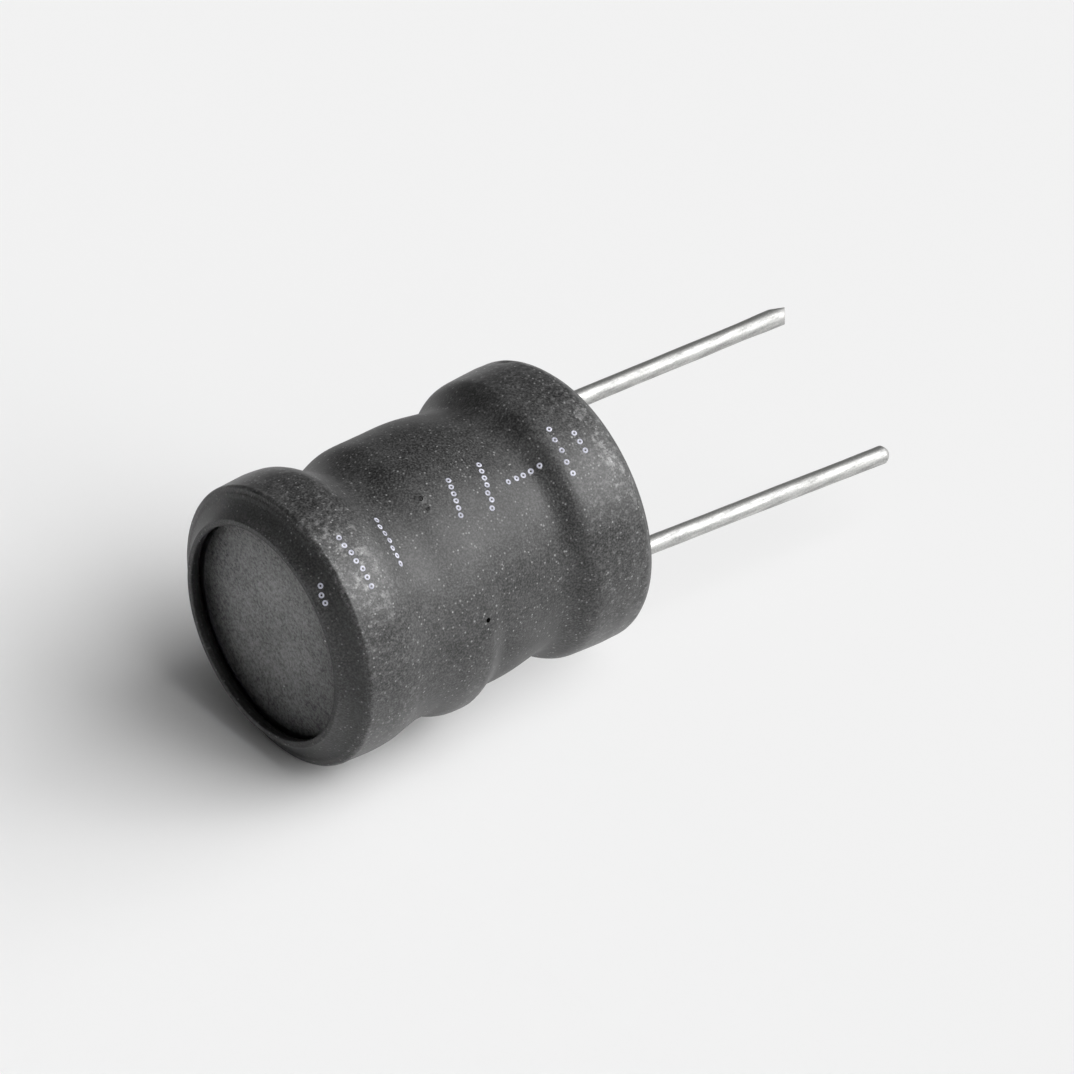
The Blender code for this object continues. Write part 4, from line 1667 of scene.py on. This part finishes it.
@dataclass
class InkMarks:
    """Drops of marking ink on the sleeve, in plain dotted bars that say nothing.

    Each drop dried with a raised rim.
    """

    sleeve: Sleeve
    finish: Finish
    drop_radius: float = 0.09 * MM
    rim_radius: float = 0.028 * MM
    rim_height: float = 0.012 * MM
    rim_segments: int = 8
    drop_segments: int = 18
    past_lip: float = 3.6 * MM
    unevenness: float = 0.015 * MM
    unevenness_turn: float = 2.4
    bars: tuple[Bar, ...] = (
        Bar((0.27, -5.7), (0.17, 1.9), 3),
        Bar((1.30, -18.5), (1.48, 3.5), 7),
        Bar((2.95, -21.0), (2.85, 0.3), 7),
        Bar((5.74, -23.0), (5.40, -7.2), 6),
        Bar((6.95, -24.0), (6.50, -4.5), 7),
        Bar((7.53, -12.0), (8.62, -12.3), 5),
        Bar((9.42, -22.9), (9.25, -3.1), 5),
        Bar((10.02, -17.0), (10.04, -9.0), 3),
    )

    def measured_skin(self) -> tuple[Outline, list[float]]:
        """Measures along the sleeve's skin.

        Returns:
            The outer outline, and the distance along it of each of its points.
        """
        skin = self.sleeve.skin()
        lengths = [0.0]
        for (r0, z0), (r1, z1) in zip(skin, skin[1:]):
            lengths.append(lengths[-1] + math.hypot(r1 - r0, z1 - z0))
        return skin, lengths

    def at(self, skin: Outline, lengths: list[float], along: float, bearing: float, lift: float) -> Vector:
        """Finds a point on the sleeve's skin.

        Args:
            skin: The outer outline.
            lengths: The distance along it of each of its points.
            along: Distance along the outline.
            bearing: Bearing round the axis.
            lift: Height above the skin.

        Returns:
            The point.
        """
        i = next(k for k in range(1, len(skin)) if lengths[k] >= along or k == len(skin) - 1)
        share = (along - lengths[i - 1]) / max(lengths[i] - lengths[i - 1], WELD)
        (r0, z0), (r1, z1) = skin[i - 1], skin[i]
        r = r0 + (r1 - r0) * share
        z = z0 + (z1 - z0) * share
        out = Vector((z1 - z0, r0 - r1)).normalized()
        r += out.x * lift + self.sleeve.form.slack(z, bearing) - self.sleeve.dip(r, z, bearing)
        return Vector((r * math.cos(bearing), r * math.sin(bearing), z + out.y * lift))

    def drop(self, skin: Outline, lengths: list[float], z: float, bearing: float) -> bmesh.types.BMesh:
        """Lays one drop on the skin.

        Args:
            skin: The outer outline.
            lengths: The distance along it of each of its points.
            z: Height of the drop's middle.
            bearing: Its bearing round the axis.

        Returns:
            The drop's raised rim, a ring that is bent as the skin is.
        """
        near = next(k for k in range(1, len(skin)) if skin[k][1] >= z and skin[k][0] > self.past_lip)
        section = []
        for k in range(self.rim_segments):
            turn = math.tau * k / self.rim_segments
            section.append((self.drop_radius + self.rim_radius * (math.cos(turn) - 1),
                            self.rim_radius * math.sin(turn)))
        bm = revolved(section, self.drop_segments)
        for vert in bm.verts:
            x, y, lift = vert.co
            vert.co = self.at(skin, lengths, lengths[near] + x, bearing + y / skin[near][0],
                              lift * self.rim_height / self.rim_radius)
        return bm

    def build(self) -> None:
        """Lays every drop on the skin, each a little off its row."""
        skin, lengths = self.measured_skin()
        drops = []
        for bar in self.bars:
            for z, bearing in bar.drops():
                off = self.unevenness * math.sin((len(drops) + 1) * self.unevenness_turn)
                drops.append(self.drop(skin, lengths, z + off, bearing))
        bm = joined(drops)
        bmesh.ops.recalc_face_normals(bm, faces=bm.faces)
        place_piece(new_object("ink_drops", bm), self.finish.build(), "sleeve")


# Studio


@dataclass(frozen=True)
class Lamp:
    """A soft far light, by where it stands over the paper beside the part.

    The elevation is above the paper, and the bearing runs along it from the leads' end towards
    the main view's side, both in degrees.
    """

    name: str
    elevation: float
    bearing: float
    strength: float
    spread: float

    def build(self, up: Vector) -> None:
        """Hangs the lamp so that it shines onto the part.

        Args:
            up: The way up from the paper.
        """
        data = bpy.data.lights.new(self.name, "SUN")
        data.energy = self.strength
        data.angle = math.radians(self.spread)
        ahead = Vector((0, 0, 1))
        level = math.radians(self.elevation)
        turn = math.radians(self.bearing)
        towards = (ahead * math.cos(turn) + ahead.cross(up) * math.sin(turn)) * math.cos(level)
        towards += up * math.sin(level)
        obj = bpy.data.objects.new(self.name, data)
        obj.rotation_mode = "QUATERNION"
        obj.rotation_quaternion = towards.to_track_quat("Z", "Y")
        bpy.context.scene.collection.objects.link(obj)


@dataclass
class Studio:
    """White paper beside and below the part, soft light, and the camera.

    The paper beside the part is what it lies on in the main view. Towards the leads' end it glows, which
    thins the part's shadow there.
    """

    drum: DrumForm
    axis_slope: float = math.radians(24.988)
    axis_to_sight: float = math.radians(59.509)
    distance: float = 440 * MM
    lens: float = 501.5
    rim_place: tuple[float, float] = (-8.083 * MM, -2.853 * MM)
    paper_span: float = 400 * MM
    clearance: float = 0.01 * MM
    paper: str = "f0f0f0"
    glow: float = 0.72
    glow_strength: float = 1.015
    glow_from: float = 2.0 * MM
    glow_to: float = 11.0 * MM
    sky: float = 0.1
    lamps: tuple[Lamp, ...] = (
        Lamp("high_pane", 55, 60, 1.48, 50),
        Lamp("near_pane", 32, 90, 0.94, 45),
        Lamp("middle_pane", 32, 54, 1.05, 45),
        Lamp("far_pane", 32, 18, 0.76, 45),
        Lamp("low_pane", 12, 20, 0.88, 60),
    )

    @property
    def side_up(self) -> Vector:
        """The way up where the part would lie on its side, as in the main view."""
        return Vector((1, -1, 0)).normalized()

    def paper_look(self, name: str, only_seen: bool) -> bpy.types.Material:
        """Makes white card that glows towards the leads' end and can't be seen from behind.

        Args:
            name: The material's name.
            only_seen: Whether only the camera finds it, while light passes through it.

        Returns:
            The material.
        """
        made = bpy.data.materials.new(name)
        made.use_nodes = True
        tree = made.node_tree
        tree.nodes.clear()
        card = add_node(tree, "BsdfDiffuse", {"Color": linear(self.paper)})
        clear = add_node(tree, "BsdfTransparent")
        lit = add_node(tree, "Emission", {"Color": linear(self.paper), "Strength": self.glow_strength})
        place = add_node(tree, "TexCoord")
        height = add_node(tree, "SeparateXYZ", {0: place.outputs["Object"]}).outputs[2]
        share = add_node(tree, "MapRange", {
            "Value": height, "From Min": self.glow_from, "From Max": self.glow_to, "To Max": self.glow},
            interpolation_type="SMOOTHSTEP")
        glowing = add_node(tree, "MixShader", {0: share, 1: card, 2: lit})
        hidden = add_node(tree, "NewGeometry").outputs["Backfacing"]
        if only_seen:
            ray = add_node(tree, "LightPath")
            unseen = add_node(tree, "Math", {0: 1.0, 1: ray.outputs["Is Camera Ray"]}, operation="SUBTRACT")
            hidden = add_node(tree, "Math", {0: hidden, 1: unseen}, operation="MAXIMUM")
        mixed = add_node(tree, "MixShader", {0: hidden, 1: glowing, 2: clear})
        add_node(tree, "OutputMaterial", {"Surface": mixed})
        return made

    def sheet_of_paper(self, name: str, up: Vector, height: float, only_seen: bool) -> None:
        """Lays a flat sheet.

        Args:
            name: The sheet's name.
            up: The way that its face looks.
            height: Where it lies along that way.
            only_seen: Whether only the camera finds it.
        """
        bm = bmesh.new()
        turn = up.to_track_quat("Z", "Y").to_matrix().to_4x4()
        bmesh.ops.create_grid(bm, x_segments=1, y_segments=1, size=self.paper_span / 2,
                              matrix=Matrix.Translation(up * height) @ turn)
        obj = new_object(name, bm)
        obj.data.materials.append(self.paper_look(name, only_seen))

    def world(self) -> None:
        """Makes a plain white sky that lights the part, and that the camera sees as pale as the paper."""
        made = bpy.data.worlds.new("white room")
        made.use_nodes = True
        tree = made.node_tree
        tree.nodes.clear()
        light = add_node(tree, "Background", {"Color": (1.0, 1.0, 1.0, 1.0), "Strength": self.sky})
        seen = add_node(tree, "Background", {"Color": linear(self.paper), "Strength": 1.0})
        ray = add_node(tree, "LightPath")
        mixed = add_node(tree, "MixShader", {0: ray.outputs["Is Camera Ray"], 1: light, 2: seen})
        add_node(tree, "OutputWorld", {"Surface": mixed})
        bpy.context.scene.world = made

    def camera(self) -> None:
        """Places the camera by how the drum's axis runs in the picture."""
        theta, alpha = self.axis_to_sight, self.axis_slope
        axis = Vector((math.sin(theta) * math.cos(alpha), math.sin(theta) * math.sin(alpha),
                       -math.cos(theta)))
        tilt = math.atan(math.tan(theta) * math.sin(alpha))
        up = Vector((0, math.cos(tilt), math.sin(tilt)))
        across = axis.cross(up)
        seen_x = (up + across) / math.sqrt(2)
        seen_y = (across - up) / math.sqrt(2)
        turn = Matrix((seen_x, seen_y, axis))
        centre = turn @ Vector((-self.rim_place[0], -self.rim_place[1], self.distance))
        data = bpy.data.cameras.new("camera")
        data.lens = self.lens
        data.sensor_width = 36.0
        data.clip_start = 0.01
        data.clip_end = 10.0
        obj = bpy.data.objects.new("camera", data)
        obj.matrix_world = Matrix.Translation(centre) @ turn.to_4x4()
        bpy.context.scene.collection.objects.link(obj)
        bpy.context.scene.camera = obj

    def build(self) -> None:
        """Sets the whole studio."""
        self.sheet_of_paper("paper_beside", self.side_up, -self.drum.sleeve_radius - self.clearance, False)
        self.sheet_of_paper("paper_below", Vector((0, 0, 1)), -self.clearance, True)
        self.world()
        for lamp in self.lamps:
            lamp.build(self.side_up)
        self.camera()
        bpy.context.scene.view_settings.view_transform = "Standard"


def main() -> None:
    """Builds the studio and every piece, in order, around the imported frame."""
    logging.basicConfig(level=logging.INFO, format="%(message)s")
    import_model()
    drum = DrumForm.from_frame()
    leads = [
        LeadForm(Side.A, 10.87 * MM, math.radians(2.0), Tip.CHOPPED, swelling=0.07),
        LeadForm(Side.B, 11.7 * MM, math.radians(3.25), Tip.CHAMFERED),
    ]
    Studio(drum).build()
    sleeve = Sleeve(drum)
    sleeve.build()
    Core(drum, leads, FerriteFinish("sintered nickel zinc ferrite")).build()
    Winding(drum, leads, EnamelFinish("enamelled copper")).build()
    tin = TinnedFinish("hot-dipped tin on copper").build()
    solder = TinnedFinish("tin solder", light="d2d2d0", dull="9fa0a0", streak_stretch=1.0, rough=0.5).build()
    cement = ResinFinish("epoxy cement", "6f5f40", "493d26").build()
    for form in leads:
        Lead(form, drum, tin).build()
        Joint(form, drum, solder, cement).build()
    InkMarks(sleeve, ResinFinish("marking ink", "d2d3df", "9fa0ad", roughness=0.55)).build()


if __name__ == "__main__":
    main()
